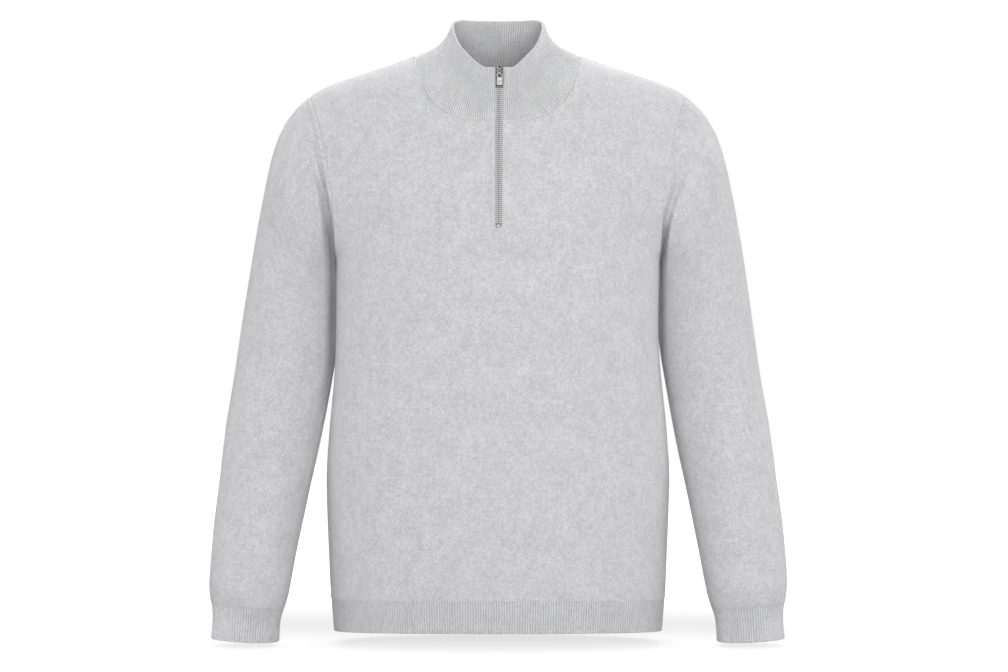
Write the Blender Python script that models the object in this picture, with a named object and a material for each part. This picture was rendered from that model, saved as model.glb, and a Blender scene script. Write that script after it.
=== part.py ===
"""Quarter-zip sweater in fine knit, filled out as worn, with nobody inside it.

Metres, +Z up, the front faces -Y and the wearer's left is +X. The origin is the middle of the
neck hole, level with the two points where the shoulder seams meet the collar.

Every cloth piece is a thin closed wall. The torso and the collar are read from one surface
each, the sleeves from another, so that pieces which are sewn together share the edge between
them and stand SEAM_GAP apart there.
"""

from collections import namedtuple
from math import asin, atan2, cos, pi, sin

import bmesh
import bpy
import numpy as np

QUARTER = pi / 2

# Cloth walls and the gap left where two pieces are sewn together.
JERSEY_WALL = 0.0020
RIB_WALL = 0.0022
COLLAR_WALL = 0.0030
TAPE_WALL = 0.0010
SEAM_GAP = 0.0003
RIB_HEIGHT = 0.0006
RIB_PITCH = 0.00295

# Torso: the outer cloth at each height. fullness below 1 squares the section, above 1 points it.
Level = namedtuple("Level", "z half_width front back fullness")
TORSO = (
    Level(-0.700, 0.1915, 0.1165, 0.1075, 0.80),
    Level(-0.674, 0.1930, 0.1170, 0.1080, 0.80),
    Level(-0.640, 0.1955, 0.1200, 0.1105, 0.79),
    Level(-0.600, 0.1975, 0.1220, 0.1115, 0.78),
    Level(-0.540, 0.2000, 0.1230, 0.1105, 0.77),
    Level(-0.500, 0.2010, 0.1225, 0.1090, 0.76),
    Level(-0.440, 0.1975, 0.1220, 0.1070, 0.75),
    Level(-0.370, 0.1915, 0.1220, 0.1070, 0.74),
    Level(-0.300, 0.1895, 0.1220, 0.1095, 0.73),
    Level(-0.240, 0.1895, 0.1210, 0.1125, 0.75),
    Level(-0.222, 0.1990, 0.1205, 0.1130, 0.85),
    Level(-0.200, 0.2160, 0.1190, 0.1130, 0.98),
    Level(-0.172, 0.2380, 0.1155, 0.1120, 1.15),
    Level(-0.134, 0.2600, 0.1080, 0.1085, 1.34),
    Level(-0.097, 0.2680, 0.0975, 0.1025, 1.42),
    Level(-0.060, 0.2680, 0.0850, 0.0975, 1.42),
    Level(-0.012, 0.2680, 0.0730, 0.1010, 1.42),
    Level(0.030, 0.2680, 0.0680, 0.1030, 1.42),
)
TOP_EDGE_FADE = 4
RIDGE_ROUND = 0.095  # height over which the cloth rounds down from the shoulder ridge

# Shoulder ridge: its height at each distance from the centre, as a cubic through these rows.
Ridge = namedtuple("Ridge", "x z")
NECK_HALF = 0.0970
SHOULDER_HALF = 0.2210
RIDGE = (
    Ridge(0.000, 0.0330),
    Ridge(0.048, 0.0230),
    Ridge(NECK_HALF, 0.0000),
    Ridge(0.126, -0.0106),
    Ridge(0.156, -0.0205),
    Ridge(0.184, -0.0299),
    Ridge(0.205, -0.0383),
    Ridge(SHOULDER_HALF, -0.0475),
    Ridge(0.236, -0.0615),
    Ridge(0.268, -0.1050),
)

# Armhole: how far out its edge is at each height, from the armpit up to the shoulder point.
Armhole = namedtuple("Armhole", "z x")
ARMPIT_Z = -0.240
ARMHOLE = (
    Armhole(ARMPIT_Z, 0.1895),
    Armhole(-0.205, 0.1912),
    Armhole(-0.172, 0.1935),
    Armhole(-0.134, 0.1985),
    Armhole(-0.097, 0.2062),
    Armhole(-0.070, 0.2135),
    Armhole(-0.0475, SHOULDER_HALF),
)

# Hem: the edge and the rib's top at the side seams, and how much higher they are at the centre.
HEM_Z = -0.6750
HEM_RIB_TOP_Z = -0.6370
HEM_LIFT = 0.0060

# Neckline: its depth at the centre in front and behind, and how square its corners are.
NECK_FRONT_Z = -0.0780
NECK_BACK_Z = -0.0050
NECK_SQUARE = {-1: 0.78, 1: 1.00}

# Collar: its top edge is an ellipse from above, at these heights from the front (0 degrees) round to
# the back (180). It leaves the neckline and ends in the directions given for side, front and back.
Rim = namedtuple("Rim", "degrees z")
RIM_HALF = 0.0545
RIM_FRONT = 0.0690
RIM_BACK = 0.0600
RIM = (
    Rim(0, -0.0178),
    Rim(16, -0.0174),
    Rim(24, -0.0134),
    Rim(44, 0.0014),
    Rim(58, 0.0120),
    Rim(72, 0.0250),
    Rim(84, 0.0352),
    Rim(102, 0.0430),
    Rim(130, 0.0476),
    Rim(180, 0.0484),
)
COLLAR_LEAVES = {"side": (-0.90, 0.00, 0.43), -1: (0.00, 0.34, 0.94), 1: (0.00, -0.60, 0.80)}
COLLAR_ENDS = {"side": (-0.27, 0.00, 0.96), -1: (0.00, 0.20, 0.98), 1: (0.00, -0.16, 0.99)}
COLLAR_SWING = 1.25  # length of both directions, in distances from neckline to edge
COLLAR_RIBS = 184

# Where the collar's ribs stand from the slit (0) to the centre back (1): on its edge they are close
# together in front, and on the neckline they are closest behind, where they run straight up.
Spread = namedtuple("Spread", "ribs base rim")
RIB_SPREAD = (
    Spread(0.00, 0.000, 0.000),
    Spread(0.22, 0.170, 0.200),
    Spread(0.59, 0.576, 0.548),
    Spread(0.87, 0.897, 0.858),
    Spread(1.00, 1.000, 1.000),
)

# Sleeve and cuff: slanting rings, given by their outer and inner ends in the frontal plane.
Ring = namedtuple("Ring", "along outer_x outer_z inner_x inner_z half_depth middle_y")
SLEEVE = (
    Ring(0.070, 0.2748, -0.1520, 0.1893, -0.2620, 0.0620, 0.020),
    Ring(0.115, 0.2848, -0.2000, 0.1888, -0.2860, 0.0610, 0.026),
    Ring(0.170, 0.2945, -0.2580, 0.1890, -0.3140, 0.0600, 0.027),
    Ring(0.225, 0.3030, -0.3160, 0.1922, -0.3480, 0.0585, 0.025),
    Ring(0.280, 0.3112, -0.3760, 0.1993, -0.3930, 0.0565, 0.018),
    Ring(0.340, 0.3205, -0.4360, 0.2098, -0.4530, 0.0545, 0.006),
    Ring(0.402, 0.3275, -0.4990, 0.2225, -0.5150, 0.0525, -0.007),
    Ring(0.466, 0.3347, -0.5640, 0.2346, -0.5780, 0.0500, -0.019),
    Ring(0.518, 0.3375, -0.6160, 0.2435, -0.6260, 0.0470, -0.028),
    Ring(0.535, 0.3362, -0.6320, 0.2475, -0.6400, 0.0440, -0.030),
    Ring(0.548, 0.3335, -0.6460, 0.2517, -0.6520, 0.0405, -0.031),
    Ring(0.560, 0.3330, -0.6580, 0.2543, -0.6630, 0.0380, -0.032),
    Ring(0.585, 0.3345, -0.6810, 0.2555, -0.6850, 0.0375, -0.034),
)
SLEEVE_END = 0.541
CUFF_END = 0.585
CUFF_RIBS = 80
SLEEVE_SWING = 1.10  # length of the cap's tangents, in distances from armhole to first ring
UNDERARM_LEAVES = (0.30, 0.50, -0.81)
SLEEVE_FULLNESS = 0.80  # below 1 squares the sleeve's section

# Zip: the slit in the knit, and the parts that fill it. CHAIN_PROUD is how far the teeth stand in
# front of the tape. The slider's middle is SLIDER_DOWN from the collar's edge.
SLIT_HALF = 0.0042
ZIP_BOTTOM_Z = -0.2050
CHAIN_HALF = 0.0028
CHAIN_WALL = 0.0026
CHAIN_PROUD = 0.0017
TAPE_OUTER = 0.0150
TAPE_GAP = 0.0005
TAPE_TAIL = 0.0080
STOP_LENGTH = 0.0040
SLIDER_DOWN = 0.0038
SLIDER_HALF = 0.0039
SLIDER_LENGTH = 0.0105
SLIDER_NECK = 0.0022
SLIDER_CLEAR = 0.0002
NECK_POST_HALF = 0.0016
PLATE = 0.0012
ARCH_HALF = 0.0010
ARCH_REACH = 0.0027
ARCH_DROP = 0.0025
ARCH_CLEAR = 0.0020
ARCH_WALL = 0.0009
PULL_HALF = 0.0034
PULL_LENGTH = 0.0160
PULL_WALL = 0.0011
PULL_WINDOW = 0.0062
PULL_RAIL = 0.0014
PULL_ROUND = 0.0002

# How many cells the plain walls are cut into.
NECK_COLUMNS = 7
SHOULDER_COLUMNS = 6
PANEL_LOW_ROWS = 8
PANEL_HIGH_ROWS = 10
SLEEVE_COLUMNS = 20
CAP_ROWS = 6
ARM_ROWS = 12
COLLAR_ROWS = 4
CUFF_ROWS = 2
ZIP_ROWS = 8
RIBS_PER_INNER_CELL = {
    "collar": 2,
    "hem_rib_front": 6,
    "hem_rib_back": 6,
    "cuff_left": 5,
    "cuff_right": 5,
}


def smooth(table, column, at):
    """A column of a table at any value of its first: a cubic through the rows, with no overshoot."""
    knots = np.array([row[0] for row in table])
    values = np.array([getattr(row, column) for row in table])
    chords = np.diff(values) / np.diff(knots)
    left, right = chords[:-1], chords[1:]
    level = left * right <= 0
    inside = np.where(level, 0, 2 * left * right / np.where(level, 1, left + right))
    slopes = np.concatenate([chords[:1], inside, chords[-1:]])
    at = np.clip(at, knots[0], knots[-1])
    i = np.clip(np.searchsorted(knots, at) - 1, 0, len(knots) - 2)
    width = knots[i + 1] - knots[i]
    s = (at - knots[i]) / width
    from_left = values[i] * (1 + 2 * s) * (1 - s) ** 2 + slopes[i] * width * s * (1 - s) ** 2
    from_right = values[i + 1] * s * s * (3 - 2 * s) - slopes[i + 1] * width * s * s * (1 - s)
    return from_left + from_right


def hermite(start, leaves, end, arrives, s):
    """The cubic that goes from start, along leaves, to end, along arrives."""
    return (
        start * (1 + 2 * s) * (1 - s) ** 2
        + leaves * s * (1 - s) ** 2
        + end * s * s * (3 - 2 * s)
        - arrives * s * s * (1 - s)
    )


def unit(vectors):
    """Each vector at a length of one."""
    return vectors / np.maximum(np.linalg.norm(vectors, axis=-1, keepdims=True), 1e-12)


def stack(x, y, z):
    """Points from their three coordinates."""
    return np.stack(np.broadcast_arrays(x, y, z), axis=-1)


# ---------------------------------------------------------------- torso surface


def fall_of(drop):
    """Height lost, and turn from level, after following the cloth down by drop from the ridge."""
    bend = np.minimum(drop / RIDGE_ROUND, QUARTER)
    return RIDGE_ROUND * (1 - np.cos(bend)) + np.maximum(drop - RIDGE_ROUND * QUARTER, 0), bend


def drop_of(fall):
    """The reverse of fall_of: how far down the cloth a loss of height is."""
    bend = np.arccos(np.clip(1 - fall / RIDGE_ROUND, 0, 1))
    return RIDGE_ROUND * bend + np.maximum(fall - RIDGE_ROUND, 0)


def torso_point(face, turn, drop):
    """A point of the torso cloth: face is -1 in front and 1 behind, turn goes from 0 at the centre to
    1 at the side, and drop is the length down from the shoulder ridge."""
    fall, bend = fall_of(drop)
    x = smooth(TORSO, "half_width", -fall) * np.sin(turn * QUARTER)
    for _ in range(6):
        z = smooth(RIDGE, "z", x) - fall
        x = smooth(TORSO, "half_width", z) * np.sin(turn * QUARTER)
    depth = smooth(TORSO, "front" if face < 0 else "back", z)
    across = np.maximum(np.cos(turn * QUARTER), 0) ** smooth(TORSO, "fullness", z)
    return stack(x, face * depth * across * np.sin(bend), z)


def torso_normal(face, turn, drop):
    """The outward normal of the torso cloth."""
    step = 1e-5
    turn = np.minimum(turn, 1 - step)
    here = torso_point(face, turn, drop)
    along = torso_point(face, turn + step, drop) - here
    down = torso_point(face, turn, drop + step) - here
    return unit(np.cross(down, along)) * -face


def torso_place(x, z):
    """The turn and drop of the cloth point that stands at x and z."""
    share = np.clip(x / smooth(TORSO, "half_width", z), 0, 1)
    return np.arcsin(share) / QUARTER, drop_of(smooth(RIDGE, "z", x) - z)


def armhole_place(angle):
    """The armhole edge: 0 is the shoulder point and pi the armpit."""
    top, middle = ARMHOLE[-1].z, (ARMHOLE[-1].z + ARMPIT_Z) / 2
    z = middle + (top - middle) * np.cos(angle)
    return smooth(ARMHOLE, "x", z), z


def neckline_place(face, s):
    """Turn and drop along the neckline, from the centre (s = 0) to the shoulder ridge (s = 1)."""
    square = NECK_SQUARE[face]
    deepest = drop_of(RIDGE[0].z - (NECK_FRONT_Z if face < 0 else NECK_BACK_Z))
    x = NECK_HALF * np.sin(s * QUARTER) ** square
    drop = deepest * np.maximum(np.cos(s * QUARTER), 0) ** square
    z = smooth(RIDGE, "z", x) - fall_of(drop)[0]
    turn = np.arcsin(np.clip(x / smooth(TORSO, "half_width", z), 0, 1)) / QUARTER
    return turn, drop


def neckline_start(face):
    """The s at which the neckline is SLIT_HALF from the centre."""
    return asin((SLIT_HALF / NECK_HALF) ** (1 / NECK_SQUARE[face])) / QUARTER


def panel_grid(face, low_rows, high_rows):
    """Half of the front or back, as rows from the rib up and columns from the centre out: the outer
    points and their outward normals.

    The four sides of the grid are the panel's own edges, and the inside is blended from them."""
    inner_x = SLIT_HALF if face < 0 else 0.0
    neck_z = NECK_FRONT_Z if face < 0 else NECK_BACK_Z
    low = np.linspace(HEM_RIB_TOP_Z, ARMPIT_Z, low_rows + 1)
    armhole_x, armhole_z = armhole_place(np.linspace(pi, 0, high_rows + 1)[1:])
    outer_x = np.concatenate([smooth(TORSO, "half_width", low), armhole_x])
    outer_z = np.concatenate([low, armhole_z])
    inner_z = np.concatenate([low, np.linspace(ARMPIT_Z, neck_z, high_rows + 1)[1:]])
    if face < 0:
        inner_z[np.argmin(abs(inner_z - ZIP_BOTTOM_Z))] = ZIP_BOTTOM_Z
    outer = np.array(torso_place(outer_x, outer_z))[:, :, None]
    inner = np.array(torso_place(np.full_like(inner_z, inner_x), inner_z))[:, :, None]

    across = np.linspace(0, 1, NECK_COLUMNS + SHOULDER_COLUMNS + 1)
    start = neckline_start(face) if face < 0 else 0.0
    neck = neckline_place(face, np.linspace(start, 1, NECK_COLUMNS + 1))
    seam_x = np.linspace(NECK_HALF, SHOULDER_HALF, SHOULDER_COLUMNS + 1)[1:]
    seam = torso_place(seam_x, smooth(RIDGE, "z", seam_x))
    top = np.array([np.concatenate([neck[i], seam[i]]) for i in (0, 1)])
    bottom_turn = inner[0, 0] + (1 - inner[0, 0]) * across
    bottom = np.array(torso_place(*hem_edge(bottom_turn, HEM_RIB_TOP_Z)))

    up = np.linspace(0, 1, low_rows + high_rows + 1)[:, None]
    straight = inner * (1 - across) + outer * across
    place = (
        straight
        + (top - straight[:, -1])[:, None, :] * up**TOP_EDGE_FADE
        + (bottom - straight[:, 0])[:, None, :] * (1 - up) ** TOP_EDGE_FADE
    )
    points = torso_point(face, *place)
    points[..., 1] += face * SEAM_GAP / 2
    return points, torso_normal(face, *place)


# ---------------------------------------------------------------- sleeve surface


def ring_point(angle, along):
    """A point of the sleeve's rings: angle 0 is the outer side, pi / 2 the front, pi the inner side."""
    ox, oz, ix, iz, depth, y = (smooth(SLEEVE, name, along) for name in Ring._fields[1:])
    lean = np.cos(angle)
    x = (ox + ix) / 2 + (ox - ix) / 2 * lean
    z = (oz + iz) / 2 + (oz - iz) / 2 * lean
    across = np.sin(angle)
    return stack(x, y - depth * np.sign(across) * np.abs(across) ** SLEEVE_FULLNESS, z)


def armhole_point(angle):
    """The armhole edge in space, and the torso cloth's outward normal there."""
    folded = np.minimum(angle, 2 * pi - angle)
    turn, drop = torso_place(*armhole_place(folded))
    front = (angle <= pi)[..., None]
    edge = np.where(front, torso_point(-1, turn, drop), torso_point(1, turn, drop))
    normal = np.where(front, torso_normal(-1, turn, drop), torso_normal(1, turn, drop))
    return edge, normal


def sleeve_point(angle, along):
    """A point of the left sleeve. along is 0 at the armhole and then follows the ring table."""
    first = SLEEVE[0].along
    edge, normal = armhole_point(angle)
    ring = ring_point(angle, first)
    chord = ring - edge
    length = np.linalg.norm(chord, axis=-1, keepdims=True) * SLEEVE_SWING
    in_cloth = unit(chord - normal * np.sum(chord * normal, axis=-1, keepdims=True))
    outward = unit(np.array([1.0, 0, 0]) - normal * normal[..., :1])
    in_cloth = unit(in_cloth + 0.8 * outward)
    under = np.clip((1 - np.cos(angle)) / 2 * 2.2 - 0.9, 0, 1)[..., None]
    under = under * under * (3 - 2 * under)
    leaves = unit(in_cloth * (1 - under) + np.array(UNDERARM_LEAVES) * under)
    arrives = unit(ring_point(angle, first + 0.01) - ring)
    s = np.clip(along / first, 0, 1)[..., None]
    cap = hermite(edge + leaves * SEAM_GAP, leaves * length, ring, arrives * length, s)
    return np.where((along < first)[..., None], cap, ring_point(angle, np.maximum(along, first)))


# ---------------------------------------------------------------- collar surface


def evenly(points, shares):
    """Points at the given shares of the length of a finely sampled line."""
    steps = np.linalg.norm(np.diff(points, axis=0), axis=1)
    length = np.concatenate([[0], np.cumsum(steps)])
    return np.stack([np.interp(shares * length[-1], length, points[:, k]) for k in range(3)], axis=1)


def collar_base(shares):
    """The neckline from the slit (0) round to the centre back (1), left side.

    It runs along the straight steps of the panels' own edges, so that the two never cross."""
    steps = np.linspace(0, 1, NECK_COLUMNS + 1)
    start = neckline_start(-1)
    front = torso_point(-1, *neckline_place(-1, start + (1 - start) * steps))
    back = torso_point(1, *neckline_place(1, 1 - steps))
    front[:, 1] -= SEAM_GAP / 2
    back[:, 1] += SEAM_GAP / 2
    return evenly(np.concatenate([front, back]), smooth(RIB_SPREAD, "base", shares))


def collar_rim(shares):
    """The collar's top edge from the slit (0) round to the centre back (1), left side."""
    angle = np.linspace(asin(SLIT_HALF / RIM_HALF), pi, 400)
    depth = np.where(angle < QUARTER, RIM_FRONT, RIM_BACK)
    z = smooth(RIM, "z", np.degrees(angle))
    rim = stack(RIM_HALF * np.sin(angle), -depth * np.cos(angle), z)
    return evenly(rim, smooth(RIB_SPREAD, "rim", shares))


def collar_point(shares, height):
    """A point of the collar's left half: shares as above, height 0 at the neckline and 1 at the edge."""
    base, rim = collar_base(shares), collar_rim(shares)
    round_by = np.arctan2(rim[:, 0], -rim[:, 1])[:, None]
    face = np.where(round_by < QUARTER, -1, 1)
    side = np.sin(round_by) ** 2
    directions = [
        unit(np.where(face < 0, table[-1], table[1]) * (1 - side) + np.array(table["side"]) * side)
        for table in (COLLAR_LEAVES, COLLAR_ENDS)
    ]
    swing = np.linalg.norm(rim - base, axis=1, keepdims=True) * COLLAR_SWING
    leaves, arrives = (d[None] * swing for d in directions)
    start = base + directions[0] * SEAM_GAP
    return hermite(start[None], leaves, rim[None], arrives, height[:, None, None])


def both_sides(half):
    """Rows of a left half joined to their mirror image, from the right end to the left one."""
    return np.concatenate([half[:, ::-1] * np.array([-1.0, 1, 1]), half], axis=1)


# ---------------------------------------------------------------- making objects


def clear_scene():
    """Take away whatever objects are there before the first piece is made."""
    for old in list(bpy.data.objects):
        bpy.data.objects.remove(old)


def material(name, colour, roughness, metallic=0.0):
    """A finish with a Principled shader in one colour."""
    made = bpy.data.materials.new(name)
    made.use_nodes = True
    shader = made.node_tree.nodes["Principled BSDF"]
    shader.inputs["Base Color"].default_value = (*colour, 1)
    shader.inputs["Roughness"].default_value = roughness
    shader.inputs["Metallic"].default_value = metallic
    return made


def add_object(name, mesh, finish):
    """An object in the scene with this mesh and finish."""
    mesh.materials.append(finish)
    made = bpy.data.objects.new(name, mesh)
    bpy.context.scene.collection.objects.link(made)
    return made


def grid_faces(rows, columns, closed=False):
    """Corner numbers of a grid's cells. Columns wrap round where closed."""
    last = columns if closed else columns - 1
    return [
        (
            i * columns + j,
            i * columns + (j + 1) % columns,
            (i + 1) * columns + (j + 1) % columns,
            (i + 1) * columns + j,
        )
        for i in range(rows - 1)
        for j in range(last)
    ]


def wall(name, outer, normals, thickness, finish, closed=False, skip=()):
    """A closed wall from its outer grid: the inside is the same grid moved in along the normals, and
    an edge face joins the two wherever a cell has no neighbour. Cells in skip are left open."""
    rows, columns = outer.shape[:2]
    cells = [c for k, c in enumerate(grid_faces(rows, columns, closed)) if k not in skip]
    shift = rows * columns
    sides = {}
    for cell in cells:
        for edge in zip(cell, cell[1:] + cell[:1]):
            if edge[::-1] in sides:
                del sides[edge[::-1]]
            else:
                sides[edge] = True
    faces = list(cells)
    faces += [tuple(k + shift for k in reversed(cell)) for cell in cells]
    faces += [(b, a, a + shift, b + shift) for a, b in sides]
    inner = outer - normals * thickness
    mesh = bpy.data.meshes.new(name)
    mesh.from_pydata(np.concatenate([outer.reshape(-1, 3), inner.reshape(-1, 3)]).tolist(), [], faces)
    mesh.validate()
    made = add_object(name, mesh, finish)
    loose = bmesh.new()
    loose.from_mesh(mesh)
    bmesh.ops.delete(loose, geom=[v for v in loose.verts if not v.link_faces], context="VERTS")
    loose.to_mesh(mesh)
    loose.free()
    return made


def normals_of(points, closed):
    """Outward normals of a grid whose rows go up and whose columns go anticlockwise from above."""
    if closed:
        points = np.concatenate([points[:, -1:], points, points[:, :1]], axis=1)
    up = np.gradient(points, axis=0)
    across = np.gradient(points, axis=1)
    normals = unit(np.cross(across, up))
    return normals[:, 1:-1] if closed else normals


def ribbed_wall(name, points, normals, thickness, finish, closed=False):
    """A wall whose outer points stand RIB_HEIGHT higher on every other column, over a plain inside.

    The inside has one column for RIBS_PER_INNER_CELL ribs, and the two edges join them."""
    rows, columns = points.shape[:2]
    sunk = ((np.arange(columns) + 1) % 2 * RIB_HEIGHT)[None, :, None]
    outer = points - normals * sunk
    step = 2 * RIBS_PER_INNER_CELL[name]
    kept = sorted({*range(0, columns, step)} | (set() if closed else {columns - 1}))
    inner = (points - normals * thickness)[:, kept]
    first_inner = rows * columns
    inside = len(kept)

    def out(i, j):
        return i * columns + j % columns

    def back(i, j):
        return first_inner + i * inside + j % inside

    faces = grid_faces(rows, columns, closed)
    cells = inside if closed else inside - 1
    for j in range(cells):
        for i in range(rows - 1):
            faces.append((back(i, j), back(i + 1, j), back(i + 1, j + 1), back(i, j + 1)))
        until = kept[j + 1] if j + 1 < inside else columns
        edge = range(kept[j], until + 1)
        faces.append((back(0, j), back(0, j + 1), *(out(0, k) for k in reversed(edge))))
        faces.append((back(rows - 1, j + 1), back(rows - 1, j), *(out(rows - 1, k) for k in edge)))
    if not closed:
        for i in range(rows - 1):
            faces.append((out(i, 0), out(i + 1, 0), back(i + 1, 0), back(i, 0)))
            end, last = columns - 1, inside - 1
            faces.append((out(i + 1, end), out(i, end), back(i, last), back(i + 1, last)))
    mesh = bpy.data.meshes.new(name)
    mesh.from_pydata(np.concatenate([outer.reshape(-1, 3), inner.reshape(-1, 3)]).tolist(), [], faces)
    mesh.validate()
    return add_object(name, mesh, finish)


# ---------------------------------------------------------------- knitted pieces


def make_panels(knit):
    """Front and back. The front's middle strip is left open above the zip's end."""
    for face, name in ((-1, "front_panel"), (1, "back_panel")):
        points, normals = panel_grid(face, PANEL_LOW_ROWS, PANEL_HIGH_ROWS)
        halves = slice(None, 0, -1) if face > 0 else slice(None, None, -1)
        flip_x = np.array([-1.0, 1, 1])
        points = np.concatenate([points[:, halves] * flip_x, points], axis=1)
        normals = np.concatenate([normals[:, halves] * flip_x, normals], axis=1)
        skip = ()
        if face < 0:
            middle = points.shape[1] // 2
            below = int(np.argmin(abs(points[:, middle, 2] - ZIP_BOTTOM_Z)))
            cells = points.shape[1] - 1
            skip = {i * cells + middle - 1 for i in range(below, points.shape[0] - 1)}
        else:
            points, normals = points[:, ::-1], normals[:, ::-1]
        wall(name, points, normals, JERSEY_WALL, knit, skip=skip)


def hem_edge(turn, z_at_side):
    """A line round the hem: z_at_side at the side seams, and HEM_LIFT higher at the centre."""
    z = z_at_side + HEM_LIFT * np.cos(turn * QUARTER)
    return smooth(TORSO, "half_width", z) * np.sin(turn * QUARTER), z


def make_hem_ribs(rib):
    """One rib band below each panel, with its ribs spaced evenly along the cloth."""
    turns = np.linspace(0, 1, 400)
    for face, name in ((-1, "hem_rib_front"), (1, "hem_rib_back")):
        line = torso_point(face, *torso_place(*hem_edge(turns, HEM_Z)))
        length = np.concatenate([[0], np.cumsum(np.linalg.norm(np.diff(line, axis=0), axis=1))])
        ribs = int(round(length[-1] / RIB_PITCH))
        even = np.interp(np.linspace(0, length[-1], 2 * ribs + 1), length, turns)
        places = [torso_place(*hem_edge(even, z)) for z in (HEM_Z, HEM_RIB_TOP_Z - SEAM_GAP)]
        half = np.array([torso_point(face, *place) for place in places])
        half_normals = np.array([torso_normal(face, *place) for place in places])
        half[..., 1] += face * SEAM_GAP / 2
        points, normals = both_sides(half), both_sides(half_normals)
        if face > 0:
            points, normals = points[:, ::-1], normals[:, ::-1]
        ribbed_wall(name, points, normals, RIB_WALL, rib)


def make_sleeves(knit, rib):
    """Each sleeve is a tube that starts on the armhole's edge, and its cuff a ribbed tube below it."""
    angle = np.linspace(2 * pi, 0, SLEEVE_COLUMNS, endpoint=False)[None, :]
    cap = np.linspace(0, SLEEVE[0].along, CAP_ROWS + 1)[:-1]
    arm = np.linspace(SLEEVE[0].along, SLEEVE_END, ARM_ROWS + 1)
    along = np.concatenate([cap, arm])[::-1, None]
    sleeve = sleeve_point(angle + 0 * along, along + 0 * angle)
    ribs = np.linspace(2 * pi, 0, 2 * CUFF_RIBS, endpoint=False)[None, :]
    down = np.linspace(CUFF_END, SLEEVE_END + SEAM_GAP, CUFF_ROWS + 1)[:, None]
    cuff = ring_point(ribs + 0 * down, down + 0 * ribs)
    for side in ("left", "right"):
        for name, points, thickness in (("sleeve", sleeve, JERSEY_WALL), ("cuff", cuff, RIB_WALL)):
            if side == "right":
                points = points[:, ::-1] * np.array([-1.0, 1, 1])
            build = wall if name == "sleeve" else ribbed_wall
            finish = knit if name == "sleeve" else rib
            build(f"{name}_{side}", points, normals_of(points, True), thickness, finish, closed=True)


def make_collar(rib):
    """The stand collar, open at the zip, with ribs that fan out from its edge to the neckline."""
    shares = np.linspace(0, 1, COLLAR_RIBS + 1)
    left = collar_point(shares, np.linspace(0, 1, COLLAR_ROWS + 1))
    points = np.concatenate([left, left[:, -2::-1] * np.array([-1.0, 1, 1])], axis=1)
    ribbed_wall("collar", points, normals_of(points, False), COLLAR_WALL, rib)


# ---------------------------------------------------------------- zip


def slit_strip(offsets):
    """The cloth beside the slit, from the collar's edge down past the zip's end: rows of points that
    lie the given lengths out from the centre, their normals, and how deep the tape runs there."""
    heights = np.linspace(1, 0, COLLAR_ROWS + 1)
    fine = collar_point(np.linspace(0, 0.2, 60), heights)
    run = np.linalg.norm(np.diff(fine, axis=1), axis=2).cumsum(axis=1)
    run = np.concatenate([np.zeros_like(run[:, :1]), run], axis=1) + SLIT_HALF
    collar = np.array(
        [
            [[np.interp(o, run[i], fine[i, :, k]) for k in range(3)] for o in offsets]
            for i in range(COLLAR_ROWS + 1)
        ]
    )
    z = np.linspace(NECK_FRONT_Z, ZIP_BOTTOM_Z, ZIP_ROWS + 1)[1:]
    z = np.append(z, ZIP_BOTTOM_Z - TAPE_TAIL)[:, None]
    panel = torso_point(-1, *torso_place(np.maximum(offsets, SLIT_HALF) + 0 * z, z + 0 * offsets))
    points = np.concatenate([collar, panel])
    points[..., 0] = np.where(offsets < SLIT_HALF, offsets, points[..., 0])
    down = np.gradient(points, axis=0)
    across = np.gradient(points, axis=1)
    normals = unit(np.cross(down, across))
    depth = np.where(np.arange(len(points)) <= COLLAR_ROWS, COLLAR_WALL, JERSEY_WALL) + TAPE_GAP
    return points, normals, depth[:, None, None]


def make_tapes(cloth):
    """The two halves of the zip's woven tape, behind the knit on each side of the slit."""
    offsets = np.array([CHAIN_HALF + SEAM_GAP, SLIT_HALF, TAPE_OUTER * 0.6, TAPE_OUTER])
    points, normals, depth = slit_strip(offsets)
    left = (points - normals * depth)[::-1]
    normals = normals[::-1]
    turn = np.array([-1.0, 1, 1])
    wall("zip_tape_left", left, normals, TAPE_WALL, cloth)
    wall("zip_tape_right", left[:, ::-1] * turn, normals[:, ::-1] * turn, TAPE_WALL, cloth)


def make_chain(metal):
    """The closed teeth as one plain strip, and the stop that holds them together at the bottom."""
    points, normals, depth = slit_strip(np.array([0.0, CHAIN_HALF]))
    normals = unit(normals * np.array([0.0, 1, 1]))
    spine = (points - normals * (depth - CHAIN_PROUD))[:-1, 0]
    out = normals[:-1, 0]
    length = np.concatenate([[0], np.linalg.norm(np.diff(spine, axis=0), axis=1).cumsum()])
    bottom = length[-1] - STOP_LENGTH
    spans = (
        ("zip_chain", SLIDER_DOWN + SLIDER_LENGTH / 2 - 0.002, bottom - SEAM_GAP, 14, 0.0),
        ("zip_bottom_stop", bottom, length[-1] - SEAM_GAP, 1, 0.0004),
    )
    for name, begin, end, cells, extra in spans:
        at = np.linspace(end, begin, cells + 1)
        line = np.stack([np.interp(at, length, spine[:, k]) for k in range(3)], axis=1)
        normal = unit(np.stack([np.interp(at, length, out[:, k]) for k in range(3)], axis=1))
        line = line + normal * extra
        half = np.array([CHAIN_HALF, 0, 0])
        outer = np.stack([line - half, line + half], axis=1)
        both = np.stack([normal, normal], axis=1)
        wall(name, outer, both, CHAIN_WALL + 2 * extra, metal)


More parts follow.
